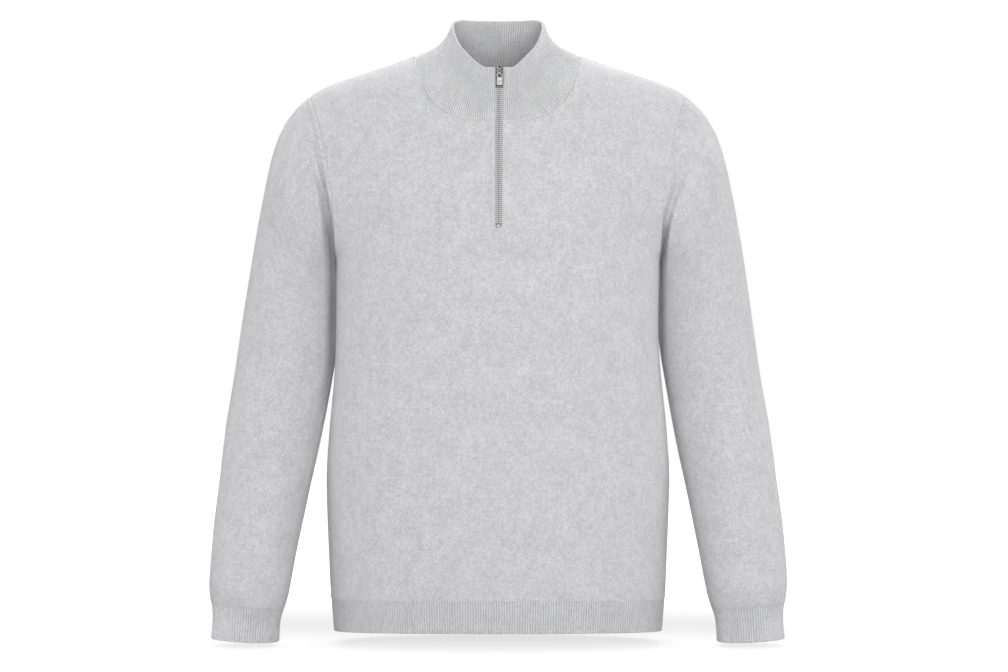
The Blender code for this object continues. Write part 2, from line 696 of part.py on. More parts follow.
def box(name, low, high, finish, bevel=0.0):
    """A block between two corners, with its origin at the world's, and its edges rounded by bevel."""
    mesh = bpy.data.meshes.new(name)
    made = bmesh.new()
    bmesh.ops.create_cube(made, size=1.0)
    low, high = np.array(low), np.array(high)
    for vertex in made.verts:
        vertex.co = (low + high) / 2 + np.array(vertex.co) * (high - low)
    made.to_mesh(mesh)
    made.free()
    block = add_object(name, mesh, finish)
    if bevel:
        rounding = block.modifiers.new("Rounded edges", "BEVEL")
        rounding.width = bevel
        rounding.segments = 2
        rounding.limit_method = "ANGLE"
    return block


def combine(target, other, operation):
    """A Boolean of the target with the other block, which stays hidden as its tool."""
    cut = target.modifiers.new(other.name, "BOOLEAN")
    cut.object = other
    cut.operation = operation
    cut.solver = "EXACT"
    other.hide_render = True
    other.display_type = "WIRE"


def make_slider(metal, bright):
    """The slider at the top of the chain, and the pull tab that turns on the arch on its front.

    Both are drawn upright, facing -Y, about the middle of the slider, and then stood on the chain."""
    points, normals, depth = slit_strip(np.array([0.0, CHAIN_HALF]))
    steps = np.linalg.norm(np.diff(points[:, 0], axis=0), axis=1)
    length = np.concatenate([[0], steps.cumsum()])
    middle = [float(np.interp(SLIDER_DOWN, length, points[:, 0, k])) for k in range(3)]
    below = [float(np.interp(SLIDER_DOWN + 0.004, length, points[:, 0, k])) for k in range(3)]
    tilt = atan2(middle[1] - below[1], middle[2] - below[2])

    tape = COLLAR_WALL + TAPE_GAP
    front = tape - CHAIN_PROUD - SLIDER_CLEAR - PLATE
    back = tape - CHAIN_PROUD + CHAIN_WALL + SLIDER_CLEAR
    half = SLIDER_LENGTH / 2
    slider = box("zip_slider", (-SLIDER_HALF, front, -half), (SLIDER_HALF, front + PLATE, half), metal)
    rear = box("slider_back", (-SLIDER_HALF, back, -half), (SLIDER_HALF, back + PLATE, half), metal)
    neck_low = half - SLIDER_NECK
    neck = box(
        "slider_neck",
        (-NECK_POST_HALF, front + PLATE / 2, neck_low),
        (NECK_POST_HALF, back + PLATE / 2, half),
        metal,
    )
    arch_top = front - ARCH_CLEAR - ARCH_WALL
    arch_low, arch_high = -ARCH_DROP - ARCH_REACH, -ARCH_DROP + ARCH_REACH
    arch = box(
        "slider_arch",
        (-ARCH_HALF, arch_top, arch_low),
        (ARCH_HALF, front + PLATE / 3, arch_high),
        metal,
    )
    inside = box(
        "slider_arch_inside",
        (-2 * ARCH_HALF, front - ARCH_CLEAR, arch_low + ARCH_WALL),
        (2 * ARCH_HALF, front, arch_high - ARCH_WALL),
        metal,
    )
    combine(arch, inside, "DIFFERENCE")
    for added in (rear, neck, arch):
        combine(slider, added, "UNION")

    pivot = front - ARCH_CLEAR / 2
    bar = PULL_WALL / 2
    pull = box(
        "zip_pull_tab",
        (-PULL_HALF, -bar, -PULL_LENGTH),
        (PULL_HALF, bar, bar),
        bright,
        PULL_ROUND,
    )
    window = box(
        "pull_window",
        (PULL_RAIL - PULL_HALF, -2 * PULL_WALL, -PULL_WINDOW - bar),
        (PULL_HALF - PULL_RAIL, 2 * PULL_WALL, -bar),
        bright,
    )
    combine(pull, window, "DIFFERENCE")

    for piece in (slider, rear, neck, arch, inside):
        piece.location = middle
        piece.rotation_euler = (-tilt, 0, 0)
    for piece in (pull, window):
        piece.location = (
            middle[0],
            middle[1] + pivot * cos(tilt) - ARCH_DROP * sin(tilt),
            middle[2] - pivot * sin(tilt) - ARCH_DROP * cos(tilt),
        )
        piece.rotation_euler = (-tilt, 0, 0)


clear_scene()
KNIT = material("heather_knit", (0.62, 0.62, 0.64), 0.9)
RIB = material("heather_rib", (0.58, 0.58, 0.60), 0.9)
TAPE = material("zip_tape_weave", (0.42, 0.42, 0.44), 0.9)
CHAIN = material("zip_teeth_metal", (0.46, 0.46, 0.48), 0.4, 1.0)
SLIDER = material("zip_slider_metal", (0.30, 0.30, 0.30), 0.35, 1.0)
PULL = material("zip_pull_metal", (0.72, 0.72, 0.74), 0.25, 1.0)
make_panels(KNIT)
make_hem_ribs(RIB)
make_sleeves(KNIT, RIB)
make_collar(RIB)
make_tapes(TAPE)
make_chain(CHAIN)
make_slider(SLIDER, PULL)
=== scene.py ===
"""Looks for the quarter-zip sweater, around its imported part.

Metres, +Z up, the front faces -Y and the wearer's left is +X. Each knitted piece is a thin shell read
from the torso's, the collar's or the sleeve's surface, fine enough for its ribs, seams and soft folds.
The stitches and the heather of the yarn are in the materials, on a UV map in metres of cloth: u runs
across the knit's columns of stitches and v along them.
"""

from collections import namedtuple
from math import asin, cos, pi, radians, sin

import bpy
import numpy as np
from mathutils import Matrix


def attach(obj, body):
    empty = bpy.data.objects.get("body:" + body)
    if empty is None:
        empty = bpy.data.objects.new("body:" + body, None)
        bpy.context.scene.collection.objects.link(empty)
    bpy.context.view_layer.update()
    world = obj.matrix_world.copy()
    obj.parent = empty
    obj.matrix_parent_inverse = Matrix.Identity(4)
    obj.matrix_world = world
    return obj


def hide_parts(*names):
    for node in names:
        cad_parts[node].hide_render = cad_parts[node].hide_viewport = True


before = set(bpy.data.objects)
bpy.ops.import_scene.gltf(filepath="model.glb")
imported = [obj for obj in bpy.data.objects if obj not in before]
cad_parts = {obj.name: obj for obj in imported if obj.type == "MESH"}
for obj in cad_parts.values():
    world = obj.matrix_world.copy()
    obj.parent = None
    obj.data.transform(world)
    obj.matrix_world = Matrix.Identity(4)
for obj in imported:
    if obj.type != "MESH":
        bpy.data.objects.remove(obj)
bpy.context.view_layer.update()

# ---------------------------------------------------------------- front and back
# The body's two panels: fine plain jersey in a light heather yarn, knitted flat and linked together
# at the sides and shoulders. The front has a slit at the centre, into which the zip is sewn.

QUARTER = pi / 2
MIRROR = np.array([-1.0, 1, 1])
JERSEY_WALL = 0.0020
SEAM_GAP = 0.00004
SEAM_ROUND = 0.0010
LINKED_ROUND = 0.0019
LINKED = 0.30  # share of its wall that cloth keeps at a linked seam
KNITTED_ON = 0.92  # the same where one piece is knitted on to another
FREE = 0.25  # the same at a free edge

Level = namedtuple("Level", "z half_width front back fullness")
TORSO = (
    Level(-0.700, 0.1915, 0.1165, 0.1075, 0.80),
    Level(-0.674, 0.1930, 0.1170, 0.1080, 0.80),
    Level(-0.640, 0.1955, 0.1200, 0.1105, 0.79),
    Level(-0.600, 0.1975, 0.1220, 0.1115, 0.78),
    Level(-0.540, 0.2000, 0.1230, 0.1105, 0.77),
    Level(-0.500, 0.2010, 0.1225, 0.1090, 0.76),
    Level(-0.440, 0.1975, 0.1220, 0.1070, 0.75),
    Level(-0.370, 0.1915, 0.1220, 0.1070, 0.74),
    Level(-0.300, 0.1895, 0.1220, 0.1095, 0.73),
    Level(-0.240, 0.1895, 0.1210, 0.1125, 0.75),
    Level(-0.222, 0.1990, 0.1205, 0.1130, 0.85),
    Level(-0.200, 0.2160, 0.1190, 0.1130, 0.98),
    Level(-0.172, 0.2380, 0.1155, 0.1120, 1.15),
    Level(-0.134, 0.2600, 0.1080, 0.1085, 1.34),
    Level(-0.097, 0.2680, 0.0975, 0.1025, 1.42),
    Level(-0.060, 0.2680, 0.0850, 0.0975, 1.42),
    Level(-0.012, 0.2680, 0.0730, 0.1010, 1.42),
    Level(0.030, 0.2680, 0.0680, 0.1030, 1.42),
)
RIDGE_ROUND = 0.095

Ridge = namedtuple("Ridge", "x z")
NECK_HALF = 0.0970
SHOULDER_HALF = 0.2210
RIDGE = (
    Ridge(0.000, 0.0330),
    Ridge(0.048, 0.0230),
    Ridge(NECK_HALF, 0.0000),
    Ridge(0.126, -0.0106),
    Ridge(0.156, -0.0205),
    Ridge(0.184, -0.0299),
    Ridge(0.205, -0.0383),
    Ridge(SHOULDER_HALF, -0.0475),
    Ridge(0.236, -0.0615),
    Ridge(0.268, -0.1050),
)

Armhole = namedtuple("Armhole", "z x")
ARMPIT_Z = -0.240
ARMHOLE = (
    Armhole(ARMPIT_Z, 0.1895),
    Armhole(-0.205, 0.1912),
    Armhole(-0.172, 0.1935),
    Armhole(-0.134, 0.1985),
    Armhole(-0.097, 0.2062),
    Armhole(-0.070, 0.2135),
    Armhole(-0.0475, SHOULDER_HALF),
)

HEM_Z = -0.6750
HEM_RIB_TOP_Z = -0.6370
HEM_LIFT = 0.0060
NECK_FRONT_Z = -0.0780
NECK_BACK_Z = -0.0050
NECK_SQUARE = {-1: 0.78, 1: 1.00}
SLIT_HALF = 0.0042
ZIP_BOTTOM_Z = -0.2050
NECK_SHARE = 7 / 13  # of a panel's half width along its top, the part that is neckline
SIDE_SHARE = 8 / 18  # of a panel's height on its grid, the part below the armpit


def smooth(table, column, at):
    """A column of a table at any value of its first: a cubic through the rows, with no overshoot."""
    knots = np.array([row[0] for row in table])
    values = np.array([getattr(row, column) for row in table])
    chords = np.diff(values) / np.diff(knots)
    left, right = chords[:-1], chords[1:]
    level = left * right <= 0
    inside = np.where(level, 0, 2 * left * right / np.where(level, 1, left + right))
    slopes = np.concatenate([chords[:1], inside, chords[-1:]])
    at = np.clip(at, knots[0], knots[-1])
    i = np.clip(np.searchsorted(knots, at) - 1, 0, len(knots) - 2)
    width = knots[i + 1] - knots[i]
    s = (at - knots[i]) / width
    from_left = values[i] * (1 + 2 * s) * (1 - s) ** 2 + slopes[i] * width * s * (1 - s) ** 2
    from_right = values[i + 1] * s * s * (3 - 2 * s) - slopes[i + 1] * width * s * s * (1 - s)
    return from_left + from_right


def eased(x):
    """x between 0 and 1, level at both ends: its square times three less twice itself."""
    x = np.clip(x, 0, 1)
    return x * x * (3 - 2 * x)


def unit(vectors):
    """Each vector over its length."""
    return vectors / np.maximum(np.linalg.norm(vectors, axis=-1, keepdims=True), 1e-12)


def stack(*parts):
    """Arrays of x, y and z, or of u and v, as one array of points."""
    return np.stack(np.broadcast_arrays(*parts), axis=-1)


def fall_of(drop):
    """Height lost and angle turned after a length of cloth drop: a quarter circle, then straight down."""
    bend = np.minimum(drop / RIDGE_ROUND, QUARTER)
    return RIDGE_ROUND * (1 - np.cos(bend)) + np.maximum(drop - RIDGE_ROUND * QUARTER, 0), bend


def drop_of(fall):
    """The length of cloth down the same line at which the height lost is fall."""
    bend = np.arccos(np.clip(1 - fall / RIDGE_ROUND, 0, 1))
    return RIDGE_ROUND * bend + np.maximum(fall - RIDGE_ROUND, 0)


def torso_point(face, turn, drop):
    """The torso's surface: x is the half width times the sine of turn (0 at the centre, 1 at the side),
    z is the shoulder ridge's height less the fall, and y is the depth times the cosine of turn to a
    power, times the sine of the bend over the ridge. face is -1 in front and 1 behind."""
    fall, bend = fall_of(drop)
    x = smooth(TORSO, "half_width", -fall) * np.sin(turn * QUARTER)
    for _ in range(6):  # x and z settle together
        z = smooth(RIDGE, "z", x) - fall
        x = smooth(TORSO, "half_width", z) * np.sin(turn * QUARTER)
    depth = smooth(TORSO, "front" if face < 0 else "back", z)
    across = np.maximum(np.cos(turn * QUARTER), 0) ** smooth(TORSO, "fullness", z)
    return stack(x, face * depth * across * np.sin(bend), z)


def torso_normal(face, turn, drop):
    """The outward normal: the cross product of two small steps on the surface."""
    step = 1e-5
    turn = np.minimum(turn, 1 - step)
    here = torso_point(face, turn, drop)
    along = torso_point(face, turn + step, drop) - here
    down = torso_point(face, turn, drop + step) - here
    return unit(np.cross(down, along)) * -face


def torso_place(x, z):
    """The turn and drop of the surface point at x and z: the arcsine of x over the half width."""
    share = np.clip(x / smooth(TORSO, "half_width", z), 0, 1)
    return np.arcsin(share) / QUARTER, drop_of(smooth(RIDGE, "z", x) - z)


def armhole_place(angle):
    """The armhole's edge: z is a cosine of angle from shoulder (0) to armpit (pi), x from its table."""
    top, middle = ARMHOLE[-1].z, (ARMHOLE[-1].z + ARMPIT_Z) / 2
    z = middle + (top - middle) * np.cos(angle)
    return smooth(ARMHOLE, "x", z), z


def neckline_place(face, s):
    """The neckline: x is a power of the sine of s, and the drop is a power of its cosine."""
    square = NECK_SQUARE[face]
    deepest = drop_of(RIDGE[0].z - (NECK_FRONT_Z if face < 0 else NECK_BACK_Z))
    x = NECK_HALF * np.sin(s * QUARTER) ** square
    drop = deepest * np.maximum(np.cos(s * QUARTER), 0) ** square
    return torso_place(x, smooth(RIDGE, "z", x) - fall_of(drop)[0])[0], drop


def neckline_start(face):
    """The s at which the neckline is SLIT_HALF from the centre."""
    return asin((SLIT_HALF / NECK_HALF) ** (1 / NECK_SQUARE[face])) / QUARTER


def hem_edge(turn, z_at_side):
    """A line round the hem: z_at_side at the side seams, and a cosine higher towards the centre."""
    z = z_at_side + HEM_LIFT * np.cos(turn * QUARTER)
    return smooth(TORSO, "half_width", z) * np.sin(turn * QUARTER), z


def edged(count, length, first=True, reach=0.0012):
    """count even steps from 0 to 1, with short ones up to reach beside the edge at the end and, unless
    it lies at the centre of a piece, beside the start."""
    short = np.array([0.18, 0.45, 0.8, 1.2, 1.7, 2.3, 3.0, 3.8, 4.8, 6.0]) / 1000
    short = short[short <= reach] / length
    even = np.linspace(0, 1, count + 1)[1:-1]
    even = even[(even > short[-1] * 1.4) & (even < 1 - short[-1] * 1.4)]
    return np.concatenate([[0.0], short if first else [], even, 1 - short[::-1], [1.0]])


def panel_place(face, across, up):
    """Turn and drop on half a panel. The four edges are known lines, each row is a straight blend from
    the centre to the outer edge, and the top's and bottom's shapes fade in with the fourth power."""
    inner_x = SLIT_HALF if face < 0 else 0.0
    neck_z = NECK_FRONT_Z if face < 0 else NECK_BACK_Z
    low = np.clip(up / SIDE_SHARE, 0, 1)
    high = np.clip((up - SIDE_SHARE) / (1 - SIDE_SHARE), 0, 1)
    low_z = HEM_RIB_TOP_Z + (ARMPIT_Z - HEM_RIB_TOP_Z) * low
    armhole_x, armhole_z = armhole_place(pi * (1 - high))
    outer_x = np.where(up <= SIDE_SHARE, smooth(TORSO, "half_width", low_z), armhole_x)
    outer_z = np.where(up <= SIDE_SHARE, low_z, armhole_z)
    inner_z = np.where(up <= SIDE_SHARE, low_z, ARMPIT_Z + (neck_z - ARMPIT_Z) * high)
    outer = np.array(torso_place(outer_x, outer_z))[:, :, None]
    inner = np.array(torso_place(np.full_like(inner_z, inner_x), inner_z))[:, :, None]
    start = neckline_start(face) if face < 0 else 0.0
    neck = neckline_place(face, start + (1 - start) * np.minimum(across / NECK_SHARE, 1))
    seam_share = np.clip((across - NECK_SHARE) / (1 - NECK_SHARE), 0, 1)
    seam_x = NECK_HALF + (SHOULDER_HALF - NECK_HALF) * seam_share
    seam = torso_place(seam_x, smooth(RIDGE, "z", seam_x))
    top = np.where(across <= NECK_SHARE, np.array(neck), np.array(seam))
    bottom_turn = inner[0, 0] + (1 - inner[0, 0]) * across
    bottom = np.array(torso_place(*hem_edge(bottom_turn, HEM_RIB_TOP_Z)))
    straight = inner * (1 - across) + outer * across
    rise = up[:, None]
    return (
        straight
        + (top - straight[:, -1])[:, None, :] * rise**4
        + (bottom - straight[:, 0])[:, None, :] * (1 - rise) ** 4
    )


def round_length(face, turn, z):
    """Length of cloth round the body from the centre to turn at height z: 32 chords of the section."""
    steps = np.linspace(0, 1, 33)[:, None, None] * turn * QUARTER
    x = smooth(TORSO, "half_width", z) * np.sin(steps)
    depth = smooth(TORSO, "front" if face < 0 else "back", z)
    y = depth * np.maximum(np.cos(steps), 0) ** smooth(TORSO, "fullness", z)
    return np.hypot(np.diff(x, axis=0), np.diff(y, axis=0)).sum(axis=0)


def run_from(points, axis, end=0):
    """Distance along a grid's lines from its first (end 0) or last (end -1) point."""
    steps = np.linalg.norm(np.diff(points, axis=axis), axis=-1)
    run = np.concatenate([np.zeros_like(steps.take([0], axis)), np.cumsum(steps, axis=axis)], axis=axis)
    return run if end == 0 else run.take([-1], axis) - run


Fold = namedtuple("Fold", "u0 v0 u1 v1 width depth")


def soft_folds(table, u, v):
    """Height of the cloth over its plain surface: each row is a slightly bowed line from one point to
    the other, with a bell-shaped section of that width and depth that fades out towards both ends."""
    height = np.zeros(np.broadcast(u, v).shape)
    for fold in table:
        du, dv = fold.u1 - fold.u0, fold.v1 - fold.v0
        length = np.hypot(du, dv)
        along = ((u - fold.u0) * du + (v - fold.v0) * dv) / length**2
        aside = ((u - fold.u0) * dv - (v - fold.v0) * du) / length
        bow = aside + 0.06 * length * np.sin(pi * along)
        fade = np.sin(pi * np.clip(along, 0, 1)) ** 1.3
        height += fold.depth * np.exp(-((bow / fold.width) ** 2)) * fade
    return height


def unevenness(u, v, seed):
    """The slow waves of knitted cloth that has been worn: five slanting sines of 60 to 260 mm, each
    0.16% of its own length high."""
    rng = np.random.default_rng(seed)
    total = 0
    for wave in (0.26, 0.19, 0.13, 0.09, 0.06):
        way, phase = rng.uniform(0, pi), rng.uniform(0, 2 * pi)
        total = total + wave * np.sin(2 * pi * (u * cos(way) + v * sin(way) * 0.6) / wave + phase)
    return total * 0.0016


def narrowing(run, radius, least):
    """Share of its wall that cloth keeps at a distance run from an edge: the height of a quarter circle
    of that radius, the root of 1 - (1 - run / radius) squared, and never under least."""
    near = 1 - np.clip(run / radius, 0, 1)
    return np.maximum(np.sqrt(1 - near**2), least)


def wall_share(*edges):
    """The least share of its wall that any of a piece's edges leaves it, each a run, radius and least."""
    return np.minimum.reduce([narrowing(*edge) for edge in edges])


def seam_bulk(run):
    """Height beside a linked seam, where its edges lie folded inside: a bell 3.2 mm out."""
    return 0.0009 * np.exp(-(((run - 0.0032) / 0.0017) ** 2))


def zip_drift(points):
    """Points of the front moved towards the left, by a bell about the zip: 0.8 mm, more at the slider
    and nothing below the zip, for it was not sewn in quite straight. The slider holds the slit's left
    edge another 1.2 mm out."""
    x, y, z = points[..., 0], points[..., 1], points[..., 2]
    sewn = np.clip((z + 0.250) / 0.02, 0, 1) * (1 + 0.6 * eased((z + 0.092) / 0.02))
    held = eased(np.clip((z + 0.052) / 0.012, 0, 1) * np.clip(x / 0.004, 0, 1))
    drift = (0.0008 * sewn + 0.0012 * held) * np.exp(-((x / 0.02) ** 2))
    return points + stack(np.where(y < 0, drift, 0), 0, 0)


def walls(points, normals, thickness, share):
    """Outer and inner points of cloth: the wall's share is kept about its middle."""
    half = normals * thickness / 2
    return points - half * (1 - share[..., None]), points - half * (1 + share[..., None])


def with_mirror(half, shared, by=1.0):
    """A grid from side to side: its half, turned round and multiplied, and then the half itself. The
    two share as many columns at the centre as shared says."""
    return np.concatenate([half[:, ::-1][:, : half.shape[1] - shared] * by, half], axis=1)


def shell(outer, inner, uv, closed=False, skip=None):
    """Points, faces and a map point per corner of a closed shell between two grids of points, with an
    edge face wherever a cell has no neighbour. uv has one column more than the grid where it is closed.
    Cells that skip marks are left open."""
    rows, columns = outer.shape[:2]
    i, j = np.meshgrid(np.arange(rows - 1), np.arange(columns - (not closed)), indexing="ij")
    if skip is not None:
        i, j = i[~skip], j[~skip]
    i, j = i.ravel(), j.ravel()

    def corners(width, wrap):
        right = (j + 1) % wrap
        return np.stack([i * width + j, i * width + right, (i + 1) * width + right, (i + 1) * width + j], 1)

    quads = corners(columns, columns)
    maps = corners(uv.shape[1], uv.shape[1] + 1)
    ends = np.concatenate([quads[:, [k, (k + 1) % 4]] for k in range(4)])
    map_ends = np.concatenate([maps[:, [k, (k + 1) % 4]] for k in range(4)])
    key = ends.min(axis=1) * np.int64(rows * columns) + ends.max(axis=1)
    _, first, count = np.unique(key, return_index=True, return_counts=True)
    a, b = ends[first[count == 1]].T
    map_a, map_b = map_ends[first[count == 1]].T
    shift = rows * columns
    faces = np.concatenate([quads, quads[:, ::-1] + shift, np.stack([b, a, a + shift, b + shift], 1)])
    face_maps = np.concatenate([maps, maps[:, ::-1], np.stack([map_b, map_a, map_a, map_b], 1)])
    used, faces = np.unique(faces, return_inverse=True)
    points = np.concatenate([outer.reshape(-1, 3), inner.reshape(-1, 3)])[used]
    return points, faces.reshape(-1, 4), uv.reshape(-1, 2)[face_maps.ravel()]


def add_mesh(name, material, points, faces, uv=None):
    """A smooth mesh object from points, four-cornered faces and, if given, a map point per corner."""
    mesh = bpy.data.meshes.new(name)
    mesh.vertices.add(len(points))
    mesh.vertices.foreach_set("co", np.ascontiguousarray(points, np.float32).ravel())
    mesh.loops.add(faces.size)
    mesh.loops.foreach_set("vertex_index", faces.astype(np.int32).ravel())
    mesh.polygons.add(len(faces))
    mesh.polygons.foreach_set("loop_start", np.arange(0, faces.size, 4, dtype=np.int32))
    mesh.update(calc_edges=True)
    if uv is not None:
        mesh.uv_layers.new(name="Cloth").data.foreach_set("uv", np.ascontiguousarray(uv, np.float32).ravel())
    mesh.shade_smooth()
    mesh.validate()
    mesh.materials.append(material)
    made = bpy.data.objects.new(name, mesh)
    bpy.context.scene.collection.objects.link(made)
    return made


def add_node(tree, kind, inputs=(), **settings):
    """A shader node with its settings, and each input set to a value or linked to what gives it."""
    made = tree.nodes.new("ShaderNode" + kind)
    for key, value in settings.items():
        setattr(made, key, value)
    for socket, value in dict(inputs).items():
        value = value.socket if isinstance(value, Reading) else value
        if isinstance(value, bpy.types.NodeSocket):
            tree.links.new(value, made.inputs[socket])
        else:
            made.inputs[socket].default_value = value
    return made


def math_node(operation, swapped=False):
    """A Reading's method that adds one Math node, whose operands are swapped where asked."""

    def method(reading, other=0.0):
        a, b = (other, reading) if swapped else (reading, other)
        tree = reading.socket.id_data
        return Reading(add_node(tree, "Math", {0: a, 1: b}, operation=operation).outputs[0])

    return method


class Reading:
    """A number that a material works out at each point: arithmetic on it adds Math nodes."""

    __add__ = __radd__ = math_node("ADD")
    __sub__ = math_node("SUBTRACT")
    __rsub__ = math_node("SUBTRACT", swapped=True)
    __mul__ = __rmul__ = math_node("MULTIPLY")
    __truediv__ = math_node("DIVIDE")
    __pow__ = math_node("POWER")
    __abs__ = math_node("ABSOLUTE")
    fraction = math_node("FRACT")
    sine = math_node("SINE")
    cosine = math_node("COSINE")
    exponential = math_node("EXPONENT")
    at_least = math_node("MAXIMUM")
    at_most = math_node("MINIMUM")

    def __init__(self, socket):
        self.socket = socket


def new_surface(name, roughness, metallic=0.0):
    """A material with a Principled shader, and its node tree and shader."""
    made = bpy.data.materials.new(name)
    made.use_nodes = True
    shader = made.node_tree.nodes["Principled BSDF"]
    shader.inputs["Roughness"].default_value = roughness
    shader.inputs["Metallic"].default_value = metallic
    return made, made.node_tree, shader


def parts_of(place):
    """The three numbers that a place is made of."""
    return [Reading(part) for part in add_node(place.id_data, "SeparateXYZ", {0: place}).outputs]


def noise(tree, place, scale, detail, roughness=0.5, lacunarity=2.0):
    """Chance grey: waves of one size and, for each step of detail, weaker ones of the next size."""
    inputs = {"Vector": place, "Scale": scale, "Detail": detail, "Roughness": roughness}
    return Reading(add_node(tree, "TexNoise", {**inputs, "Lacunarity": lacunarity}).outputs[0])


def mixed(tree, dark, light, share):
    """The colour that lies a share of the way from one to the other."""
    inputs = {0: share, 6: (*dark, 1), 7: (*light, 1)}
    return add_node(tree, "Mix", inputs, data_type="RGBA").outputs[2]


def times(tree, colour, share):
    """A colour with each of its parts multiplied."""
    inputs = {0: 1.0, 6: colour, 7: share}
    return add_node(tree, "Mix", inputs, data_type="RGBA", blend_type="MULTIPLY").outputs[2]


def raise_by(shader, height, strength, distance):
    """Gives a shader the light and shade of a height from 0 to 1, times a distance."""
    inputs = {"Height": height, "Strength": strength, "Distance": distance}
    bump = add_node(shader.id_data, "Bump", inputs)
    shader.id_data.links.new(bump.outputs[0], shader.inputs["Normal"])


def heather(tree, u, v, light, dark, strength):
    """Heather yarn: pale and grey fibres mixed by chance, so that every patch differs from the next.

    The share of pale fibres is a noise about one stitch wide whose octaves each are twice as wide and
    weaker than the one before, plus a finer noise for the single fibres."""
    share = 0.5
    for scale_u, scale_v, weight, detail, lacunarity in (
        (560, 430, 0.86, 4.0, 0.5),
        (1000, 1300, 1.15, 1.0, 2.0),
    ):
        place = add_node(tree, "CombineXYZ", {0: u * scale_u, 1: v * scale_v, 2: scale_u})
        fibres = noise(tree, place.outputs[0], 1.0, detail, 0.75, lacunarity)
        share = (fibres - 0.5) * (weight * strength) + share
    return mixed(tree, dark, light, share.at_least(0.0).at_most(1.0))


def knit(name, light, dark, wale, course, relief, groove=0.0, strength=2.8):
    """Knitted cloth: each stitch is a V of two legs, whose height is a sine along the leg times a
    parabola across it. Painted shade makes its hollows and the grooves between ribs a little darker,
    and the nap gives it a soft sheen."""
    made, tree, shader = new_surface(name, 0.92)
    u, v, _ = parts_of(add_node(tree, "UVMap", uv_map="Cloth").outputs[0])
    turn = u / wale
    out = abs((turn + 0.5).fraction() - 0.5)
    loop = ((v / course - out * 1.4).fraction() * pi).sine()
    off_leg = (out - 0.25) / 0.25
    height = loop.at_least(0.0) ** 0.6 * (1.0 - off_leg * off_leg)
    raise_by(shader, height, 0.8, relief)
    # Painted shade: the stitches' hollows and the grooves between ribs are darker.
    shade = height * 0.16 + 0.90
    if groove:
        shade = ((turn * (2 * pi)).cosine() - 0.6) * groove + shade
    colour = times(tree, heather(tree, u, v, light, dark, strength), shade)
    tree.links.new(colour, shader.inputs["Base Color"])
    shader.inputs["Sheen Weight"].default_value = 0.6
    shader.inputs["Sheen Roughness"].default_value = 0.5
    shader.inputs["Specular IOR Level"].default_value = 0.15
    return made


JERSEY = knit(
    "heather_jersey",
    light=(0.660, 0.660, 0.672),
    dark=(0.440, 0.441, 0.456),
    wale=0.0018,
    course=0.00135,
    relief=0.00025,
    strength=3.8,
)

FRONT_FOLDS = (
    Fold(-0.180, -0.250, -0.160, -0.500, 0.011, -0.0020),
    Fold(-0.160, -0.330, -0.150, -0.620, 0.016, 0.0016),
    Fold(0.180, -0.240, 0.166, -0.440, 0.011, -0.0020),
    Fold(0.158, -0.360, 0.150, -0.620, 0.015, 0.0014),
    Fold(-0.176, -0.430, -0.184, -0.640, 0.008, -0.0014),
    Fold(0.178, -0.440, 0.183, -0.640, 0.008, -0.0012),
    Fold(-0.060, -0.420, -0.052, -0.620, 0.022, 0.0012),
    Fold(0.070, -0.440, 0.062, -0.630, 0.024, 0.0012),
    Fold(0.165, -0.170, 0.120, -0.250, 0.012, -0.0014),
    Fold(-0.168, -0.175, -0.125, -0.260, 0.012, -0.0014),
)
BACK_FOLDS = (
    Fold(-0.176, -0.260, -0.158, -0.520, 0.012, -0.0022),
    Fold(0.176, -0.250, 0.160, -0.480, 0.012, -0.0022),
    Fold(-0.150, -0.300, -0.138, -0.600, 0.018, 0.0018),
    Fold(0.146, -0.320, 0.140, -0.610, 0.018, 0.0018),
    Fold(-0.050, -0.380, -0.070, -0.610, 0.026, 0.0016),
    Fold(0.060, -0.360, 0.048, -0.620, 0.024, -0.0014),
    Fold(0.150, -0.140, 0.060, -0.230, 0.018, -0.0014),
    Fold(-0.152, -0.150, -0.070, -0.240, 0.018, -0.0014),
)
FINE_REACH = 0.006  # how far from a linked seam the grid is fine enough for the seam's bulk
UNEVEN_FROM = 0.03  # how far from its edges a piece is as uneven as elsewhere

